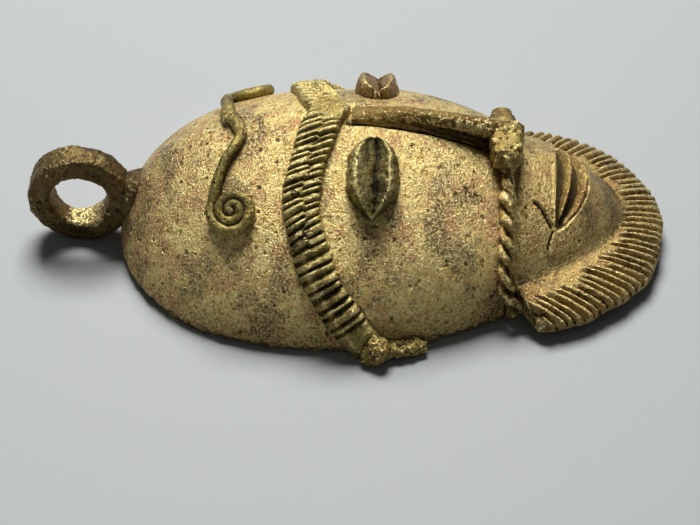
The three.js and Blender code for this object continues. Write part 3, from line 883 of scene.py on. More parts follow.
class PENDANT_OT_chin(bpy.types.Operator):
    """Chin: a lower sheet that carries on from the crease, with the hollow of the mouth and a crack"""

    bl_idname = "pendant.chin"
    bl_label = "Chin"

    def execute(self, context):
        head = context.scene.pendant_head
        chin = context.scene.pendant_chin
        lips = context.scene.pendant_lips
        dome = chin_dome()
        sheet = rolled_sheet("chin", 230, 150)
        start = -head.crease - chin.gap
        foot = -head.crease - chin.foot
        reach = chin.reach - 1.2 * MM
        lip_edge = 0.18 * MM
        under_beard = 2 * MM

        def cover(flat):
            y = start - reach * np.sin(math.pi / 2 * flat[:, 1])
            angle = dome.even_turns(1 - flat[:, 0], start)
            points = dome.at(angle, y)
            outs = dome.out(angle, y)
            across, room = mouth_place(points)
            floor = smooth_step(0.0, 0.22, room) * lips.depth
            edge = lip_edge * np.exp(-((room + 0.10) / 0.09) ** 2) * (across > 0)
            points += outs * (edge - floor)[:, None]
            return points - outs * (chin.crack_depth * crack(points))[:, None]

        def trim(points):
            hem = beard_top(np.hypot(points[:, 0], points[:, 1] + beard_centre())) - under_beard
            points[:, 2] = np.maximum(points[:, 2], np.where(points[:, 1] > foot, 0, hem))
            return points

        shape(sheet, cover)
        close_up(sheet)
        face_outwards(sheet)
        dent(sheet, head.relief * 0.8, sizes=(7, 3, 1.2), shares=(0.8, 0.5, 0.3))
        apply_modifier(sheet, "SOLIDIFY", thickness=head.wall, offset=-1)
        shape(sheet, trim)
        shape(sheet, keep_inside)
        place_piece(sheet, "chin_shell", "chin")
        return {"FINISHED"}


# Routes over the chin, and half the width of each crack in millimetres
CRACKS = (
    ([(-7.0, -26.0), (-7.4, -26.7), (-8.0, -27.3), (-8.6, -27.7), (-9.2, -28.3)], 0.30),
    ([(-7.9, -27.2), (-8.6, -27.7), (-9.2, -28.3)], 0.42),
    ([(-9.6, -28.6), (-11.0, -28.0), (-12.1, -27.9), (-12.9, -28.1), (-13.7, -27.7), (-14.4, -27.6)], 0.19),
)


def crack(points):
    """How deep the casting cracks beside the mouth are, from 1 in their middle to 0 off them."""
    deepest = np.zeros(len(points))
    for route, wide in CRACKS:
        line = smooth_curve(np.array(route) * MM, 12)
        nearest = np.min(np.hypot(points[:, 0, None] - line[:, 0], points[:, 1, None] - line[:, 1]), axis=1)
        deepest = np.maximum(deepest, np.clip(1 - nearest / (wide * MM), 0, 1) * min(1, wide * 3))
    return deepest


def mouth_line(x):
    """Middle of the mouth's lens and its half width, for places across the chin."""
    lips = bpy.context.scene.pendant_lips
    head = bpy.context.scene.pendant_head
    room = np.clip(1 - np.abs((x - lips.left) / lips.reach) ** 2.2, 0, 1)
    middle = -head.crease - lips.back - lips.tilt * x - lips.bow * room
    return middle, lips.half_width * room ** 0.8


def mouth_place(points):
    """Place across the mouth, from 1 at its upper edge to -1, and how deep inside it a point lies."""
    middle, half = mouth_line(points[:, 0])
    across = (points[:, 1] - middle) / np.maximum(half, 0.05 * MM)
    return across, np.where(half > 0.1 * MM, 1 - np.abs(across), -1)


def beard_centre():
    """How far the middle of the collar's round edge lies from the origin, towards the chin."""
    return bpy.context.scene.pendant_head.crease + bpy.context.scene.pendant_beard.set_back


def beard_top(radius):
    """Height of the collar's top, by the distance from its middle."""
    beard = bpy.context.scene.pendant_beard
    run = np.clip(radius - (beard.radius - beard.slope_run), 0, None) / beard.slope_run
    return beard.rim_height + beard.rise * (1 - run ** 1.8)


def rib_phase(points):
    """Which rib a place on the beard lies on, and how far the rib still runs from there to the outer edge.

    The ribs fan out from the chin and all lean to the left side."""
    beard = bpy.context.scene.pendant_beard
    x = points[:, 0]
    y = points[:, 1] + beard_centre()
    angle = np.arctan2(x, -y)
    # The way that a rib runs depends on where it ends, so its end is found in a few rounds
    for _ in range(6):
        direction = beard.lean + beard.fan * np.sin(angle)
        way_x, way_y = np.sin(direction), -np.cos(direction)
        along = -(x * way_x + y * way_y)
        missing = beard.radius ** 2 - (x ** 2 + y ** 2)
        distance = along + np.sqrt(np.clip(along ** 2 + missing, 0, None))
        angle = np.arctan2(x + way_x * distance, -(y + way_y * distance))
    return (angle / beard.half_turn + 1) / 2 * beard.ribs, distance


def rib_relief(points):
    """How far the cut edge of the beard stands above its slope, or below it."""
    beard = bpy.context.scene.pendant_beard
    pitch = 2 * beard.half_turn * beard.radius / beard.ribs
    phase, distance = rib_phase(points)
    phase = phase + 0.10 * np.sin(phase * 2.3)
    odd = uneven(np.floor(phase + 0.5))
    reach = beard.rib_length * (0.85 + 0.35 * odd)
    fade = smooth_step(reach, reach * 0.72, distance)
    middle = np.abs(np.mod(phase + 0.5, 1) - 0.5) * pitch
    width = (0.30 + 0.10 * odd) * MM
    cut = np.exp(-(middle / width) ** 3) * (0.8 + 0.35 * odd)
    round_rib = 1 - (middle / (pitch / 2) - 1) ** 2
    return (beard.rib_bulge * (round_rib - 0.4) - beard.groove_depth * cut) * fade


def run_into_chin(points):
    """Height of the collar, with a soft run up to the chin and a thin edge carried on under it."""
    chin = chin_dome()
    blend = 1.6 * MM
    x, y, z = points[:, 0], points[:, 1], points[:, 2]
    across = np.clip(np.abs(x) / np.maximum(chin.half_width(y), 1e-6), 0, 1)
    chin_z = chin.height(y) * (1 - across ** chin.bluntness(y)) ** (1 / chin.bluntness(y))
    near = np.where(across < 1, np.clip(0.5 + 0.5 * (chin_z - z) / blend, 0, 1), 0)
    joined = z * (1 - near) + chin_z * near + blend * near * (1 - near)
    deeper = np.where(across < 1, chin_z - z - blend / 2, 0)
    joined -= np.clip(deeper * 0.12, 0, 1.2 * MM)
    return np.minimum(joined, beard_top(0) + 2 * MM)


class PENDANT_OT_beard(bpy.types.Operator):
    """Beard: a sloping collar with ribs cut to its edge"""

    bl_idname = "pendant.beard"
    bl_label = "Beard"

    def execute(self, context):
        beard = context.scene.pendant_beard
        strip = rolled_thread("beard", 120, 620)
        inner = beard.radius - beard.slope_run - 1.0 * MM
        top_end, edge_end, underside = 0.62, 0.70, 0.30
        foot_flare = math.radians(3.5)
        edge_in = 0.26 * MM
        edge_drop = 0.25 * MM

        def spread(flat):
            around = round_part(flat)
            # The section goes out along the top, down the edge and back along the underside
            out = np.where(around < top_end, around / top_end, np.clip((1 - around) / underside, 0, 1))
            down = np.where(around < top_end, 0.0, smooth_step(top_end, edge_end, around))
            radius = inner + (beard.radius - inner) * out
            outward = np.clip((radius - beard.radius + beard.rib_length) / beard.rib_length, 0, 1)
            reach = beard.inner_turn + (beard.half_turn - beard.inner_turn) * outward + foot_flare * down
            angle = (2 * flat[:, 1] - 1) * reach
            wave = 0.16 * MM * np.sin(angle * 9.0) + 0.10 * MM * np.sin(angle * 23.0 + 1)
            radius = radius + (wave - edge_in) * smooth_step(0.7, 1.0, out)
            y = -beard_centre() - radius * np.cos(angle)
            points = np.stack([radius * np.sin(angle), y, beard_top(radius)], -1)
            points[:, 2] += rib_relief(points) * (1 - down)
            points[:, 2] -= edge_drop * smooth_step(0.93, 1.0, out) * (1 - down)
            points[:, 2] = run_into_chin(points) - down * beard.thickness
            return points

        shape(strip, spread)
        close_up(strip)
        dent(strip, 0.09 * MM, sizes=(3.0, 1.2, 0.7), shares=(1.0, 0.8, 0.5))
        place_piece(strip, "beard_collar", "beard")
        return {"FINISHED"}


class PENDANT_OT_loop(bpy.types.Operator):
    """Hanging loop on its stem"""

    bl_idname = "pendant.loop"
    bl_label = "Hanging loop"

    def execute(self, context):
        head = context.scene.pendant_head
        loop = context.scene.pendant_loop
        middle_z = loop.radius + loop.lift
        middle_y = head.crown + loop.reach - loop.radius
        centre = (loop.radius + loop.hole) / 2
        half = (loop.radius - loop.hole) / 2
        deselect()
        bpy.ops.mesh.primitive_torus_add(major_radius=centre, minor_radius=half, major_segments=72,
                                         minor_segments=28, location=(0, middle_y, middle_z),
                                         rotation=(0, math.pi / 2, 0))
        ring = named("loop")
        worn_in = 0.25 * MM

        def square_up(points):
            around = np.arctan2(points[:, 2] - middle_z, points[:, 1] - middle_y)
            radius = np.hypot(points[:, 2] - middle_z, points[:, 1] - middle_y)
            corner = np.arctan2(points[:, 0], radius - centre)
            side, out = rounded(corner, half, loop.width / 2, 0.36)
            out *= 1 + 0.12 * np.sin(2 * around + 0.6)
            radius = centre + side - worn_in * (side < 0) * np.sin(around * 1.5 + 2) ** 2
            return np.stack([out, middle_y + radius * np.cos(around), middle_z + radius * np.sin(around)], -1)

        shape(ring, square_up)
        stem = rolled_thread("stem", 32, 16)
        stem_end = middle_y - loop.hole - 0.6 * MM
        in_wall = 1.2 * MM
        collar_height = 0.4 * MM

        def taper(flat):
            radius = loop.stem_root + (loop.stem - loop.stem_root) * smooth_step(0, 0.75, flat[:, 1])
            radius = radius + collar_height * np.exp(-((flat[:, 1] - 0.42) / 0.2) ** 2)
            z = middle_z + flat[:, 2] * radius
            root = head.crown * (1 - (z / head.height) ** 2) ** (1 / CREST_TO_LOOP) - in_wall
            return np.stack([flat[:, 0] * radius, root + (stem_end - root) * flat[:, 1], z], -1)

        shape(stem, taper)
        close_up(stem)
        fuse(ring, stem, voxel=0.18 * MM, smoothing=0.6, rounds=8)
        dent(ring, 0.17 * MM, sizes=(3.5, 1.4, 0.7), shares=(1.0, 0.7, 0.8))
        place_piece(ring, "hanging_loop", "dark_and_shaded")
        return {"FINISHED"}


# Routes of the threads from the crest to the coils, in millimetres across the face and along it
RIGHT_ARM = [(0.9, 15.7), (-0.9, 14.8), (-2.9, 14.2), (-4.6, 15.0), (-6.0, 16.1), (-8.2, 17.0)]
LEFT_ARM = [(0.2, 15.6), (1.8, 16.3), (4.0, 16.4), (7.6, 16.9)]


class PENDANT_OT_scrolls(bpy.types.Operator):
    """Two threads that run from the crest into ram's-horn coils"""

    bl_idname = "pendant.scrolls"
    bl_label = "Forehead scrolls"

    def execute(self, context):
        for name, arm, side in (("scroll_right", RIGHT_ARM, 1), ("scroll_left", LEFT_ARM, -1)):
            thread = self.wind(context.scene.pendant_scroll, name, arm, side)
            place_piece(thread, "forehead_" + name, "green")
        return {"FINISHED"}

    def wind(self, scroll, name, arm, side):
        """One thread and its coil. The left coil is wider and lower, and its thread is thicker."""
        dome = head_dome()
        far = side < 0
        centre_y = scroll.centre_y - (0.9 * MM if far else 0)
        outer = scroll.radius + (0.25 * MM if far else 0)
        thickness = 1.2 if far else 1.0
        centre_turn = dome.turn_at(-side * scroll.centre_x, centre_y)
        per_radian = dome.per_radian(centre_turn, centre_y)
        places = [(dome.turn_at(x * MM, y * MM), y * MM) for x, y in arm]
        steps_per_turn = 16
        steps = round(scroll.turns * steps_per_turn)
        for step in range(steps + 1):
            radius = outer + (scroll.core - outer) * step / steps
            angle = scroll.start - 2 * math.pi * step / steps_per_turn
            places.append((centre_turn - side * radius * math.sin(angle) / per_radian,
                           centre_y + radius * math.cos(angle)))
        line = line_on(dome, places, 900)
        thread = rolled_thread(name, 20, 420)

        def bend(flat):
            part = flat[:, 1]
            swell = 1.04 + 0.04 * np.sin(part * 41 + side) + 0.03 * np.sin(part * 97)
            end = np.sqrt(np.clip(1 - np.clip(1 - part / 0.012, 0, 1) ** 2, 0.15, 1))
            radius = scroll.thread * swell * end * thickness
            strap = smooth_step(0.16, 0.04, part)
            up = flat[:, 2] * radius * (1 - 0.25 * strap) + scroll.thread - scroll.sink
            return line.lay(flat[:, 0] * radius * (1 + 0.35 * strap), part, up)

        shape(thread, bend)
        close_up(thread)
        deselect()
        middle = (line.points[-1] + dome.at(centre_turn, centre_y)) / 2 + line.outs[-1] * scroll.thread * 0.85
        bpy.ops.mesh.primitive_uv_sphere_add(segments=20, ring_count=12, radius=scroll.thread * 1.05,
                                             location=middle)
        fuse(thread, named("core"), voxel=0.1 * MM, smoothing=0.5, rounds=2)
        dent(thread, 0.07 * MM, sizes=(1.6, 0.7), shares=(0.8, 0.9))
        return thread


# Route of the headband from the crest, as degrees round the section and millimetres along the face
BAND_LINE = [(107, 4.2), (124, 5.7), (134, 5.2), (149, 2.9), (163, -0.8)]
BAND_END = 174


class PENDANT_OT_headband(bpy.types.Operator):
    """Headband: a strip on each side, cut across in a herringbone on the brow and in ribs on the temple"""

    bl_idname = "pendant.headband"
    bl_label = "Headband"

    def execute(self, context):
        band = context.scene.pendant_band
        face = context.scene.pendant_face
        dome = head_dome()
        # The line starts beyond the crest, so that it runs over it without a bend
        first = (180 - BAND_LINE[0][0], 2 * band.crest / MM - BAND_LINE[0][1])
        knots = [first, (90, band.crest / MM), *BAND_LINE, (BAND_END, face.ear_y / MM)]
        line = line_on(dome, [(math.radians(degrees), y * MM) for degrees, y in knots], 1200)
        line.ease(2.6 * MM)
        strip = rolled_thread("brow_band_right", 64, 560)

        def bend(flat):
            side, up = even_section(round_part(flat), bottom=0.35, power=0.45)
            along = flat[:, 1] * line.length
            down = smooth_step(0.45, 0.6, flat[:, 1])
            side = side * band.width / 2 * (1 + 0.04 * np.sin(along / MM * 0.7 + 1.0))
            cuts = band_cuts(band, along, side, line.length)
            bevel = 0.5 * smooth_step(0.9 * MM, 2.4 * MM, side) * down
            top = smooth_step(0.25, 0.8, up)
            height = band.thickness * up * (1 - bevel) - band.cut * cuts * top
            height += 0.10 * MM * np.sin(along / MM * 0.9) * (up > 0)
            return line.lay(side, flat[:, 1], height)

        shape(strip, bend)
        close_up(strip)
        dent(strip, 0.10 * MM, sizes=(2.2, 0.8), shares=(0.8, 1.0))
        # The half is cut off straight at the crest, where the other half meets it
        with edit_mode(strip):
            bpy.ops.mesh.bisect(plane_co=(0, 0, 0), plane_no=(-1, 0, 0), use_fill=True, clear_inner=True)
            bpy.ops.mesh.mark_sharp()
        for piece, side in both_sides(strip):
            place_piece(piece, "headband_" + side, "band")
        return {"FINISHED"}


def band_cuts(band, along, side, whole):
    """How deep each place of the headband is cut, from 0 to 1.

    On the brow two slanted rows of fine cuts meet at a wavy seam, and on the temple one row of wider cuts
    goes straight across."""
    fine = np.linspace(0, whole, 2001)
    pitch = band.fine_pitch + (band.coarse_pitch - band.fine_pitch) * smooth_step(0.5, 0.68, fine / whole)
    counted = np.concatenate([[0], np.cumsum(np.diff(fine) / pitch[1:])])
    part = along / whole
    here = np.interp(along, fine, pitch)
    brow = smooth_step(0.64, 0.58, part)
    seam = (-0.25 + 0.3 * np.sin(along / MM * 1.1) + 0.2 * np.sin(along / MM * 2.7)) * MM
    row_shift = np.where(side > seam, 0.42, 0.0) * brow
    slant = band.slant * smooth_step(0.85, 0.1, part) * side
    phase = np.interp(along, fine, counted) - slant / here + row_shift
    brow_wobble = 0.06 * brow * np.sin(phase * 7.1 + row_shift * 3)
    phase = phase + 0.12 * np.sin(phase * 2.9 + row_shift * 5) + brow_wobble
    odd = uneven(np.floor(phase + 0.5), row_shift)
    middle = np.abs(np.mod(phase + 0.5, 1) - 0.5) * here
    width = (0.26 - 0.07 * brow + 0.07 * odd) * MM
    cut = np.exp(-(middle / width) ** 2.4) * (0.7 + 0.45 * odd)
    cut = cut + 0.22 * (2 * middle / here - 1) ** 2 + 0.3 * uneven(np.floor(phase), row_shift + 0.3)
    cut = np.maximum(cut, 0.55 * brow * np.exp(-((side - seam) / (0.24 * MM)) ** 2))
    plain_ends = smooth_step(0.95, 0.93, part) * smooth_step(0.13, 0.2, part)
    return cut * plain_ends * (1 - 0.3 * brow)


class PENDANT_OT_ears(bpy.types.Operator):
    """Ears: a pellet and a short bar on the rim, where the headband ends"""

    bl_idname = "pendant.ears"
    bl_label = "Ears"

    def execute(self, context):
        face = context.scene.pendant_face
        dome = head_dome()
        pellet_x = -float(dome.half_width(face.ear_y)) - face.ear_out
        middle = np.array([pellet_x, face.ear_y - 0.8 * MM, face.ear_radius * 0.85])
        deselect()
        bpy.ops.mesh.primitive_uv_sphere_add(segments=32, ring_count=20, radius=face.ear_radius,
                                             location=middle)
        pellet = named("ear_lug_right")

        def squash(points):
            away = points - middle
            up = away[:, 2] / face.ear_radius
            away[:, 1] = away[:, 1] * (0.92 + 0.10 * up) - 0.35 * MM * np.sin(2.6 * up)
            sway = 0.3 * MM * np.sin(3.4 * away[:, 1] / face.ear_radius)
            away[:, 0] = away[:, 0] * (1.0 - 0.12 * up) + sway
            return middle + away

        shape(pellet, squash)
        start = face.ear_y - face.ear_radius * 0.5
        bar = rolled_thread("ear_bar", 28, 24)
        bar_middle = face.ear_bar_thickness / 2 + 0.3 * MM
        droop = 0.25 * MM

        def flatten(flat):
            y = start - face.ear_bar * flat[:, 1]
            angle = np.arctan2(flat[:, 2], flat[:, 0])
            side, up = rounded(angle, face.ear_bar_reach * 0.72, face.ear_bar_thickness / 2, 0.6)
            up = up * (1 - 0.25 * smooth_step(0.75, 1.0, flat[:, 1]))
            x = -dome.half_width(y) - face.ear_bar_reach * 0.28 + side
            return np.stack([x, y, bar_middle + up - droop * flat[:, 1] * (up > 0)], -1)

        shape(bar, flatten)
        close_up(bar)
        fuse(pellet, bar, voxel=0.14 * MM, smoothing=0.5, rounds=3)
        for piece, side in both_sides(pellet):
            dent(piece, 0.24 * MM, sizes=(2.2, 0.9, 0.5), shares=(1.5, 1.0, 0.8))
            place_piece(piece, "ear_" + side, "knob")
        return {"FINISHED"}


class PENDANT_OT_eyes(bpy.types.Operator):
    """Eyes: leaf-shaped pellets with a deep slit between two lids"""

    bl_idname = "pendant.eyes"
    bl_label = "Eyes"

    def execute(self, context):
        face = context.scene.pendant_face
        dome = head_dome()
        reach = face.eye_length / 2 / dome.per_radian(face.eye_turn, face.eye_y)
        places = [(face.eye_turn + reach * part, face.eye_y) for part in (-1, -0.5, 0, 0.5, 1)]
        line = line_on(dome, places, 300)
        eye = rolled_thread("eye_leaf_right", 96, 130)
        lid_line = 0.62
        underside = 0.8 * MM
        far_narrowing = 0.84

        def bend(flat):
            middle = np.abs(2 * flat[:, 1] - 1)
            angle = np.arctan2(flat[:, 2], flat[:, 0])
            blunt = smooth_step(0.55, 0.40, flat[:, 1])
            leaf = np.clip(1 - middle ** (1.9 + 0.6 * blunt), 0.05, 1) ** (0.95 - 0.42 * blunt)
            part = np.cos(angle)
            beyond = np.clip((np.abs(part) - lid_line) / (1 - lid_line), 0, 1)
            wall = 1 - 0.15 * beyond - 0.85 * beyond ** 3
            off = part + 0.15 + 0.05 * np.sin(flat[:, 1] * 9) * (1 - np.abs(part))
            inside = np.clip(1 - np.abs(off) / (lid_line + 0.15 * np.sign(off)), 0, 1)
            valley = 0.75 * inside ** 0.95 + 0.25 * smooth_step(0.86, 1.0, inside)
            crown = face.eye_height * (1 - 0.42 * middle ** 2.4)
            top = crown * wall - face.eye_slit * valley * (1 - 0.8 * middle ** 6) * (beyond == 0)
            up = np.where(flat[:, 2] > -0.01, top, -underside * np.abs(np.sin(angle)))
            ragged = 1 + 0.05 * np.sin(flat[:, 1] * 11) + 0.03 * np.sin(flat[:, 1] * 31 + part)
            return line.lay(part * face.eye_width / 2 * leaf * ragged, flat[:, 1], up)

        def narrow(points):
            shift = face.eye_y * (1 - far_narrowing) - 0.2 * MM
            return points * [1, far_narrowing, 1] + [0, shift, 0]

        shape(eye, bend)
        close_up(eye)
        for piece, side in both_sides(eye):
            if side == "left":
                shape(piece, narrow)
            dent(piece, 0.13 * MM, sizes=(2.2, 0.8, 0.5), shares=(1.0, 0.9, 0.5))
            place_piece(piece, "eye_" + side, "dark" if side == "right" else "copper")
        return {"FINISHED"}


class PENDANT_OT_nose(bpy.types.Operator):
    """Nose: a bar along the crest that stands higher towards its tip"""

    bl_idname = "pendant.nose"
    bl_label = "Nose"

    def execute(self, context):
        face = context.scene.pendant_face
        bar = rolled_thread("nose", 72, 190)

        def carve(flat):
            y = face.nose_start + (face.nose_end - face.nose_start) * flat[:, 1]
            side, up = even_section(round_part(flat), bottom=1.0, power=0.72)
            share_up = (up + 1) / 2
            top = nose_top(y)
            base = np.minimum(nose_foot(y), top - 1.0 * MM)
            ends = smooth_step(1.0, 0.955, flat[:, 1])
            half = nose_half_width(y, share_up) * (0.66 + 0.34 * ends)
            z = base + (top - base) * share_up * (0.84 + 0.16 * ends)
            sway = 0.15 * MM * np.sin(flat[:, 1] * 7)
            return np.stack([side * half + sway, y, z], -1)

        shape(bar, carve)
        close_up(bar)
        dent(bar, 0.16 * MM, sizes=(2.8, 1.0, 0.6), shares=(0.9, 0.8, 0.45))
        place_piece(bar, "nose_ridge", "nose")
        return {"FINISHED"}


def nose_part(y):
    """Share of the way from the nose's start to its tip."""
    face = bpy.context.scene.pendant_face
    return np.clip((y - face.nose_start) / (face.nose_end - face.nose_start), 0, 1)


def nose_top(y):
    """Height of the nose's upper edge."""
    face = bpy.context.scene.pendant_face
    head = bpy.context.scene.pendant_head
    crest = np.where(y > -head.crease, head_dome().height(np.maximum(y, -head.crease)), head.crease_height)
    rise = face.nose_rise_start + (face.nose_rise_end - face.nose_rise_start) * nose_part(y) ** 1.25
    return crest + rise - 0.15 * MM


def nose_half_width(y, share_up):
    """Half width of the nose: a wall that spreads to the brow, and a round bar on a thin web at the tip."""
    half = bpy.context.scene.pendant_face.nose_width / 2
    spread = half * (0.78 + 0.34 * smooth_step(0.9, 0.5, share_up) - 0.30 * smooth_step(0.35, 0.0, share_up))
    bar = half * (0.66 + 0.34 * np.clip(1 - ((share_up - 0.70) / 0.28) ** 2, 0, 1))
    return spread + (bar - spread) * smooth_step(0.15, 0.75, nose_part(y))


def nose_foot(y):
    """Where the nose ends below, inside the wall of the head."""
    head = bpy.context.scene.pendant_head
    on_head = head_dome().height(np.maximum(y, -head.crease)) - 0.8 * MM
    return np.where(y > -head.crease, on_head, head.crease_height - 1.2 * MM)


class PENDANT_OT_nostrils(bpy.types.Operator):
    """Nostrils: a knob on each side of the nose's tip"""

    bl_idname = "pendant.nostrils"
    bl_label = "Nostrils"

    def execute(self, context):
        face = context.scene.pendant_face
        inside_nose = 0.5 * MM
        y = face.nose_end + face.nostril_back
        z = float(nose_top(np.array(y))) - face.nostril_drop
        root = face.nostril_radius * 0.85
        apart = 0.3 * MM
        hang = 0.4 * MM

        def hanging(flat):
            part = flat[:, 1]
            wide = face.nostril_radius * (1.0 - 0.24 * smooth_step(0.45, 1, part))
            belly = np.clip(1 - np.clip((part - 0.8) / 0.2, 0, 1) ** 2.6, 0.05, 1) ** 0.5
            high = wide - 0.5 * MM * part
            across, up = even_section(round_part(flat), bottom=1.0, power=0.62)
            reach = face.nostril_reach + face.nostril_hang + 0.3 * MM
            x = -(face.nose_width / 2 - inside_nose + part * reach)
            low = z - hang + up * high * belly - hang * part
            return np.stack([x, y - apart + across * wide * belly, low], -1)

        def stubby(flat):
            part = flat[:, 1]
            wide = root + (face.nostril_tip * 0.9 - root) * part + 0.25 * MM * smooth_step(0.62, 0.52, part)
            belly = np.clip(1 - np.clip((part - 0.93) / 0.07, 0, 1) ** 2, 0.1, 1) ** 0.5
            across, up = even_section(round_part(flat), bottom=1.0, power=0.9)
            high = wide * 0.8
            x = face.nose_width / 2 - inside_nose + part * (face.nostril_reach + 0.3 * MM)
            return np.stack([x, y + apart + across * wide * belly, z + up * high * belly], -1)

        for side, form, depth in (("right", hanging, 0.32 * MM), ("left", stubby, 0.09 * MM)):
            knob = rolled_thread("nose_knob_" + side, 56, 40)
            shape(knob, form)
            close_up(knob)
            dent(knob, depth, sizes=(1.7, 0.8, 0.5), shares=(0.9, 0.9, 0.4))
            place_piece(knob, "nostril_" + side, "knob")
        return {"FINISHED"}


class PENDANT_OT_cords(bpy.types.Operator):
    """Twisted threads down each cheek, over the crease"""

    bl_idname = "pendant.cords"
    bl_label = "Cheek cords"

    def execute(self, context):
        cord = context.scene.pendant_cord
        head = context.scene.pendant_head
        dome = head_dome()
        turns = np.linspace(cord.start, cord.end, 300)
        y = np.full_like(turns, -head.crease)
        points = dome.at(turns, y)
        outs = unit(dome.out(turns, y) * [1, 0, 1])
        walked = walk(points)
        over_crease = 0.15 * MM
        foot_shift = 1.5 * MM
        for letter, phase in (("a", 0.0), ("b", math.pi)):
            twist = phase + 2 * math.pi * walked / cord.pitch
            apart = cord.offset * (0.45 + 0.55 * smooth_step(3 * MM, 8 * MM, walked))
            raised = cord.lift + 0.15 * MM * smooth_step(7 * MM, 4 * MM, walked)
            middle = points + outs * (raised + apart * np.sin(twist))[:, None]
            middle[:, 1] += apart * np.cos(twist) - over_crease
            middle[:, 1] -= foot_shift * smooth_step(0.84, 1.0, walked / walked[-1])
            line = Line(middle, outs, 500)
            strand = rolled_thread(f"cord_{letter}_right", 16, 200)

            def bend(flat, line=line):
                part = flat[:, 1]
                lumps = 0.45 * smooth_step(0.32, 0.2, part) * (0.5 + 0.5 * np.sin(part * 60))
                radius = cord.strand * (1 + 0.1 * np.sin(part * 37) + lumps)
                return line.lay(flat[:, 0] * radius, part, flat[:, 2] * radius)

            shape(strand, bend)
            close_up(strand)
            for piece, side in both_sides(strand):
                dent(piece, 0.14 * MM, sizes=(1.8, 0.7), shares=(1.0, 0.7))
                place_piece(piece, f"cheek_cord_{letter}_{side}", "cord")
        return {"FINISHED"}


class PENDANT_OT_lips(bpy.types.Operator):
    """Lips: two ridges across the chin, in the hollow of the mouth"""

    bl_idname = "pendant.lips"
    bl_label = "Lips"

    def execute(self, context):
        lips = context.scene.pendant_lips
        dome = chin_dome()
        ridges = (("upper_lip", lips.upper, 0.85, 0.1, -0.83), ("lower_lip", lips.lower, 1.15, 0.0, -0.88))
        for name, place, width, lean, end in ridges:
            knots = []
            for part in np.linspace(0.9, end, 13):
                x = part * lips.reach + lips.left
                middle, half = mouth_line(x)
                y = float(middle + place * half)
                knots.append((dome.turn_at(x, y), y))
            line = line_on(dome, knots, 400)
            ridge = rolled_thread("mouth_" + name, 44, 170)

            def bend(flat, line=line, place=place, width=width, lean=lean):
                middle = 2 * flat[:, 1] - 1
                thin = np.clip(1 - np.abs(middle) ** 2.4, 0.06, 1)
                side, up = even_section(round_part(flat), bottom=0.5, power=0.9)
                top = np.where(up > 0, lips.depth * (0.45 + 0.80 * thin) * up, up * 0.6 * MM)
                side = (side - lean * np.clip(up, 0, 1)) * width / 2 * MM * thin ** 0.6
                ripple = 0.04 * MM * np.sin(middle * 17 + place * 9)
                return line.lay(side + ripple, flat[:, 1], top - lips.depth)

            shape(ridge, bend)
            close_up(ridge)
            dent(ridge, 0.18 * MM, sizes=(1.8, 0.8), shares=(0.5, 1.0))
            place_piece(ridge, name, "laid")
        return {"FINISHED"}


class PENDANT_OT_wear_and_shade(bpy.types.Operator):
    """Marks on every piece what stands proud, for wear and painted highlight, and what lies low or close to
    another piece, for dirt and painted shade
    """

    bl_idname = "pendant.patina"
    bl_label = "Wear, highlight and shade"

    def execute(self, context):
        pieces = [context.scene.objects[name] for name in PIECES]
        trees = {piece.name: BVHTree.FromObject(piece, context.evaluated_depsgraph_get()) for piece in pieces}
        boxes = {piece.name: (points_of(piece).min(0), points_of(piece).max(0)) for piece in pieces}
        for piece in pieces:
            mark_relief(piece)
            mark_crease_shade(piece, trees, boxes)
        return {"FINISHED"}


PIECES = ("head", "chin", "beard", "loop", "scroll_right", "scroll_left", "brow_band_right", "brow_band_left",
          "ear_lug_right", "ear_lug_left", "eye_leaf_right", "eye_leaf_left", "nose", "nose_knob_right",
          "nose_knob_left", "cord_a_right", "cord_a_left", "cord_b_right", "cord_b_left", "mouth_upper_lip",
          "mouth_lower_lip")

# Pieces that run into each other with no crease, so no painted shade or dirt is laid where they meet
SMOOTH_JOINS = ({"brow_band_right", "brow_band_left"}, {"chin", "beard"}, {"chin", "mouth_upper_lip"},
                {"chin", "mouth_lower_lip"})

# What stands this far above the surface round it is worn bright and painted as highlight, and what lies as
# far below it is painted dark, as dirt and shade
PROUD = 0.09 * MM


def write_mark(piece, name, values):
    """Keeps a value for each point of a piece, which its material reads."""
    mark = piece.data.attributes.get(name) or piece.data.attributes.new(name, "FLOAT", "POINT")
    mark.data.foreach_set("value", np.asarray(values, np.float32))


def smoothed_points(piece, points, reach):
    """The points of a piece after the relief within the reach is smoothed away."""
    edges = np.empty(len(piece.data.edges) * 2, np.int32)
    piece.data.edges.foreach_get("vertices", edges)
    start, end = edges.reshape(-1, 2).T
    count = np.bincount(np.concatenate([start, end]), minlength=len(points))[:, None]
    spacing = float(np.median(np.linalg.norm(points[start] - points[end], axis=1)))
    rounds = int(np.clip((reach / spacing) ** 2, 2, 40))
    smoothed = points.copy()
    for _ in range(rounds):
        total = np.zeros_like(smoothed)
        for axis in range(3):
            total[:, axis] += np.bincount(start, smoothed[end, axis], len(points))
            total[:, axis] += np.bincount(end, smoothed[start, axis], len(points))
        smoothed = 0.5 * smoothed + 0.5 * total / np.maximum(count, 1)
    return smoothed


def mark_relief(piece):
    """How far each point stands above (1) or below (-1) the smoothed surface round it."""
    points = points_of(piece)
    normals = np.empty(len(points) * 3, np.float32)
    piece.data.vertex_normals.foreach_get("vector", normals)
    reach = (0.9 if piece.name == "nose" else 0.5) * MM
    rise = np.sum((points - smoothed_points(piece, points, reach)) * normals.reshape(-1, 3), axis=1)
    handled = {"head": rubbed_head, "chin": shaded_mouth, "beard": rib_wear_and_highlight, "loop": eye_wear_and_highlight}
    if piece.name in handled:
        rise = handled[piece.name](points, rise)
    write_mark(piece, "relief", np.clip(rise / PROUD, -1, 1))


def rubbed_head(points, rise):
    """The edge of the head beside the crease is rubbed bright."""
    by_crease = (points[:, 1] + bpy.context.scene.pendant_head.crease) / MM
    return rise + 1.3 * PROUD * smooth_step(1.6, 0.5, by_crease)


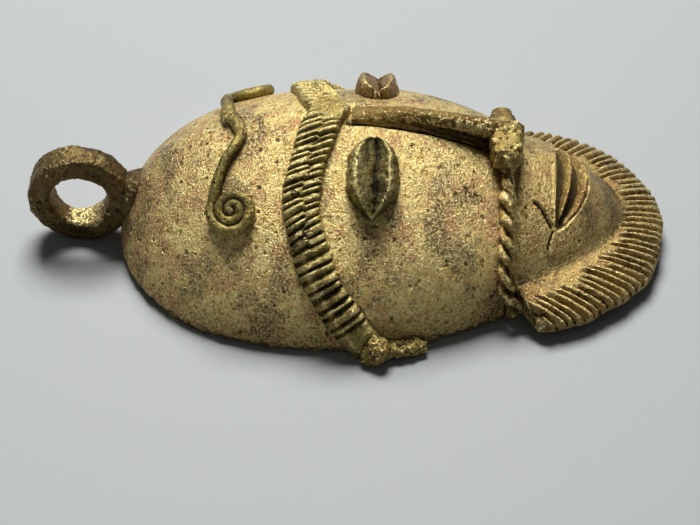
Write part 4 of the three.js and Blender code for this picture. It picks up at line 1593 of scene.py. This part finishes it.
def shaded_mouth(points, rise):
    """The hollow of the mouth is painted dark as shade, and so is the ledge below it."""
    across, room = mouth_place(points)
    rise = rise - PROUD * smooth_step(0.05, 0.25, room)
    return rise - 0.9 * PROUD * smooth_step(-0.25, 0, room) * (across < 0)


def rib_wear_and_highlight(points, rise):
    """The ribs of the beard are rubbed bright, as wear and painted highlight, and the smooth slope above them
    is made darker.
    """
    beard = bpy.context.scene.pendant_beard
    outwards = np.hypot(points[:, 0], points[:, 1] + beard_centre()) - beard.radius + beard.rib_length
    on_ribs = smooth_step(-1.2 * MM, 0, outwards)
    return 1.3 * rise * on_ribs - 0.3 * PROUD * (1 - on_ribs)


def eye_wear_and_highlight(points, rise):
    """The lower inside of the loop's eye, which faces up, is rubbed bright and painted as lit."""
    loop = bpy.context.scene.pendant_loop
    away_y = points[:, 1] - bpy.context.scene.pendant_head.crown - loop.reach + loop.radius
    away_z = points[:, 2] - loop.radius - loop.lift
    inside = smooth_step(loop.hole + 0.9 * MM, loop.hole + 0.3 * MM, np.hypot(away_y, away_z))
    rubbed = smooth_step(3.4 * MM, 0.8 * MM, away_y) * smooth_step(-4.4 * MM, -2.4 * MM, away_y)
    return rise + 1.2 * PROUD * inside * rubbed * (away_z < 0)


def mark_crease_shade(piece, trees, boxes):
    """1 where a point touches another piece, falling to 0 at the reach. The material paints shade there, with
    some dirt.
    """
    reach = 0.8 * MM
    points = points_of(piece)
    nearest = np.full(len(points), reach)
    for name, tree in trees.items():
        if name == piece.name or {name, piece.name} in SMOOTH_JOINS:
            continue
        low, high = boxes[name]
        close = np.all((points > low - reach) & (points < high + reach), axis=1)
        for index in np.nonzero(close)[0]:
            distance = tree.find_nearest(points[index], nearest[index])[3]
            if distance is not None:
                nearest[index] = min(nearest[index], distance)
    write_mark(piece, "crease", 1 - nearest / reach)


class PENDANT_OT_studio(bpy.types.Operator):
    """Plain floor, soft light and the camera"""

    bl_idname = "pendant.studio"
    bl_label = "Studio"

    def execute(self, context):
        scene = context.scene
        studio = scene.pendant_studio
        deselect()
        bpy.ops.mesh.primitive_plane_add(size=4, location=(0, 0, -0.02 * MM))
        floor = named("floor")
        floor.data.materials.append(self.floor_paint(studio))

        back = Vector((math.sin(studio.azimuth) * math.cos(studio.elevation),
                       -math.cos(studio.azimuth) * math.cos(studio.elevation), math.sin(studio.elevation)))
        right = Vector((math.cos(studio.azimuth), math.sin(studio.azimuth), 0))
        up = back.cross(right)
        level_right = right * math.cos(studio.roll) + up * math.sin(studio.roll)
        level_up = -right * math.sin(studio.roll) + up * math.cos(studio.roll)
        aim = Vector((0, -0.4 * MM, 6 * MM))
        frame_drop = 8.236 * MM
        data = bpy.data.cameras.new("camera")
        data.lens = studio.lens
        data.sensor_width = 36
        data.clip_start = 0.01
        camera = bpy.data.objects.new("camera", data)
        scene.collection.objects.link(camera)
        place = Matrix((level_right, level_up, back)).transposed().to_4x4()
        place.translation = aim + back * studio.distance - level_up * frame_drop
        camera.matrix_world = place
        scene.camera = camera

        light = bpy.data.lights.new("overhead", "AREA")
        light.energy = studio.overhead_power
        light.size = 0.29
        lamp = bpy.data.objects.new("overhead", light)
        scene.collection.objects.link(lamp)
        lamp.location = (0.325, 0.045, 0.56)
        lamp.rotation_euler = lamp.location.to_track_quat("Z", "Y").to_euler()

        world = bpy.data.worlds.new("room")
        world.use_nodes = True
        background = world.node_tree.nodes["Background"]
        background.inputs["Color"].default_value = (0.93, 0.96, 1.0, 1)
        background.inputs["Strength"].default_value = studio.world
        scene.world = world
        scene.view_settings.view_transform = "Standard"
        return {"FINISHED"}

    def floor_paint(self, studio):
        material = bpy.data.materials.new("floor")
        material.use_nodes = True
        shader = material.node_tree.nodes["Principled BSDF"]
        shader.inputs["Base Color"].default_value = (*studio.floor, 1)
        shader.inputs["Roughness"].default_value = 0.6
        return material


OPERATORS = (
    PENDANT_OT_head,
    PENDANT_OT_chin,
    PENDANT_OT_beard,
    PENDANT_OT_loop,
    PENDANT_OT_scrolls,
    PENDANT_OT_headband,
    PENDANT_OT_ears,
    PENDANT_OT_eyes,
    PENDANT_OT_nose,
    PENDANT_OT_nostrils,
    PENDANT_OT_cords,
    PENDANT_OT_lips,
    PENDANT_OT_wear_and_shade,
    PENDANT_OT_studio,
)


class PENDANT_PT_panel(bpy.types.Panel):
    """Lists the pieces of the pendant and their sizes"""

    bl_idname = "PENDANT_PT_panel"
    bl_label = "Mask Pendant"
    bl_space_type = "VIEW_3D"
    bl_region_type = "UI"
    bl_category = "Pendant"

    def draw(self, context):
        for operator in OPERATORS:
            self.layout.operator(operator.bl_idname)
        for name in GROUPS:
            box = self.layout.box()
            settings = getattr(context.scene, name)
            for key in settings.bl_rna.properties.keys():
                if key not in {"rna_type", "name"}:
                    box.prop(settings, key)


def register():
    for name, group in GROUPS.items():
        bpy.utils.register_class(group)
        setattr(bpy.types.Scene, name, PointerProperty(type=group))
    for operator in OPERATORS:
        bpy.utils.register_class(operator)
    bpy.utils.register_class(PENDANT_PT_panel)


def unregister():
    bpy.utils.unregister_class(PENDANT_PT_panel)
    for operator in reversed(OPERATORS):
        bpy.utils.unregister_class(operator)
    for name, group in GROUPS.items():
        delattr(bpy.types.Scene, name)
        bpy.utils.unregister_class(group)


def main():
    register()
    for operator in OPERATORS:
        group, name = operator.bl_idname.split(".")
        getattr(getattr(bpy.ops, group), name)()


if __name__ == "__main__":
    main()
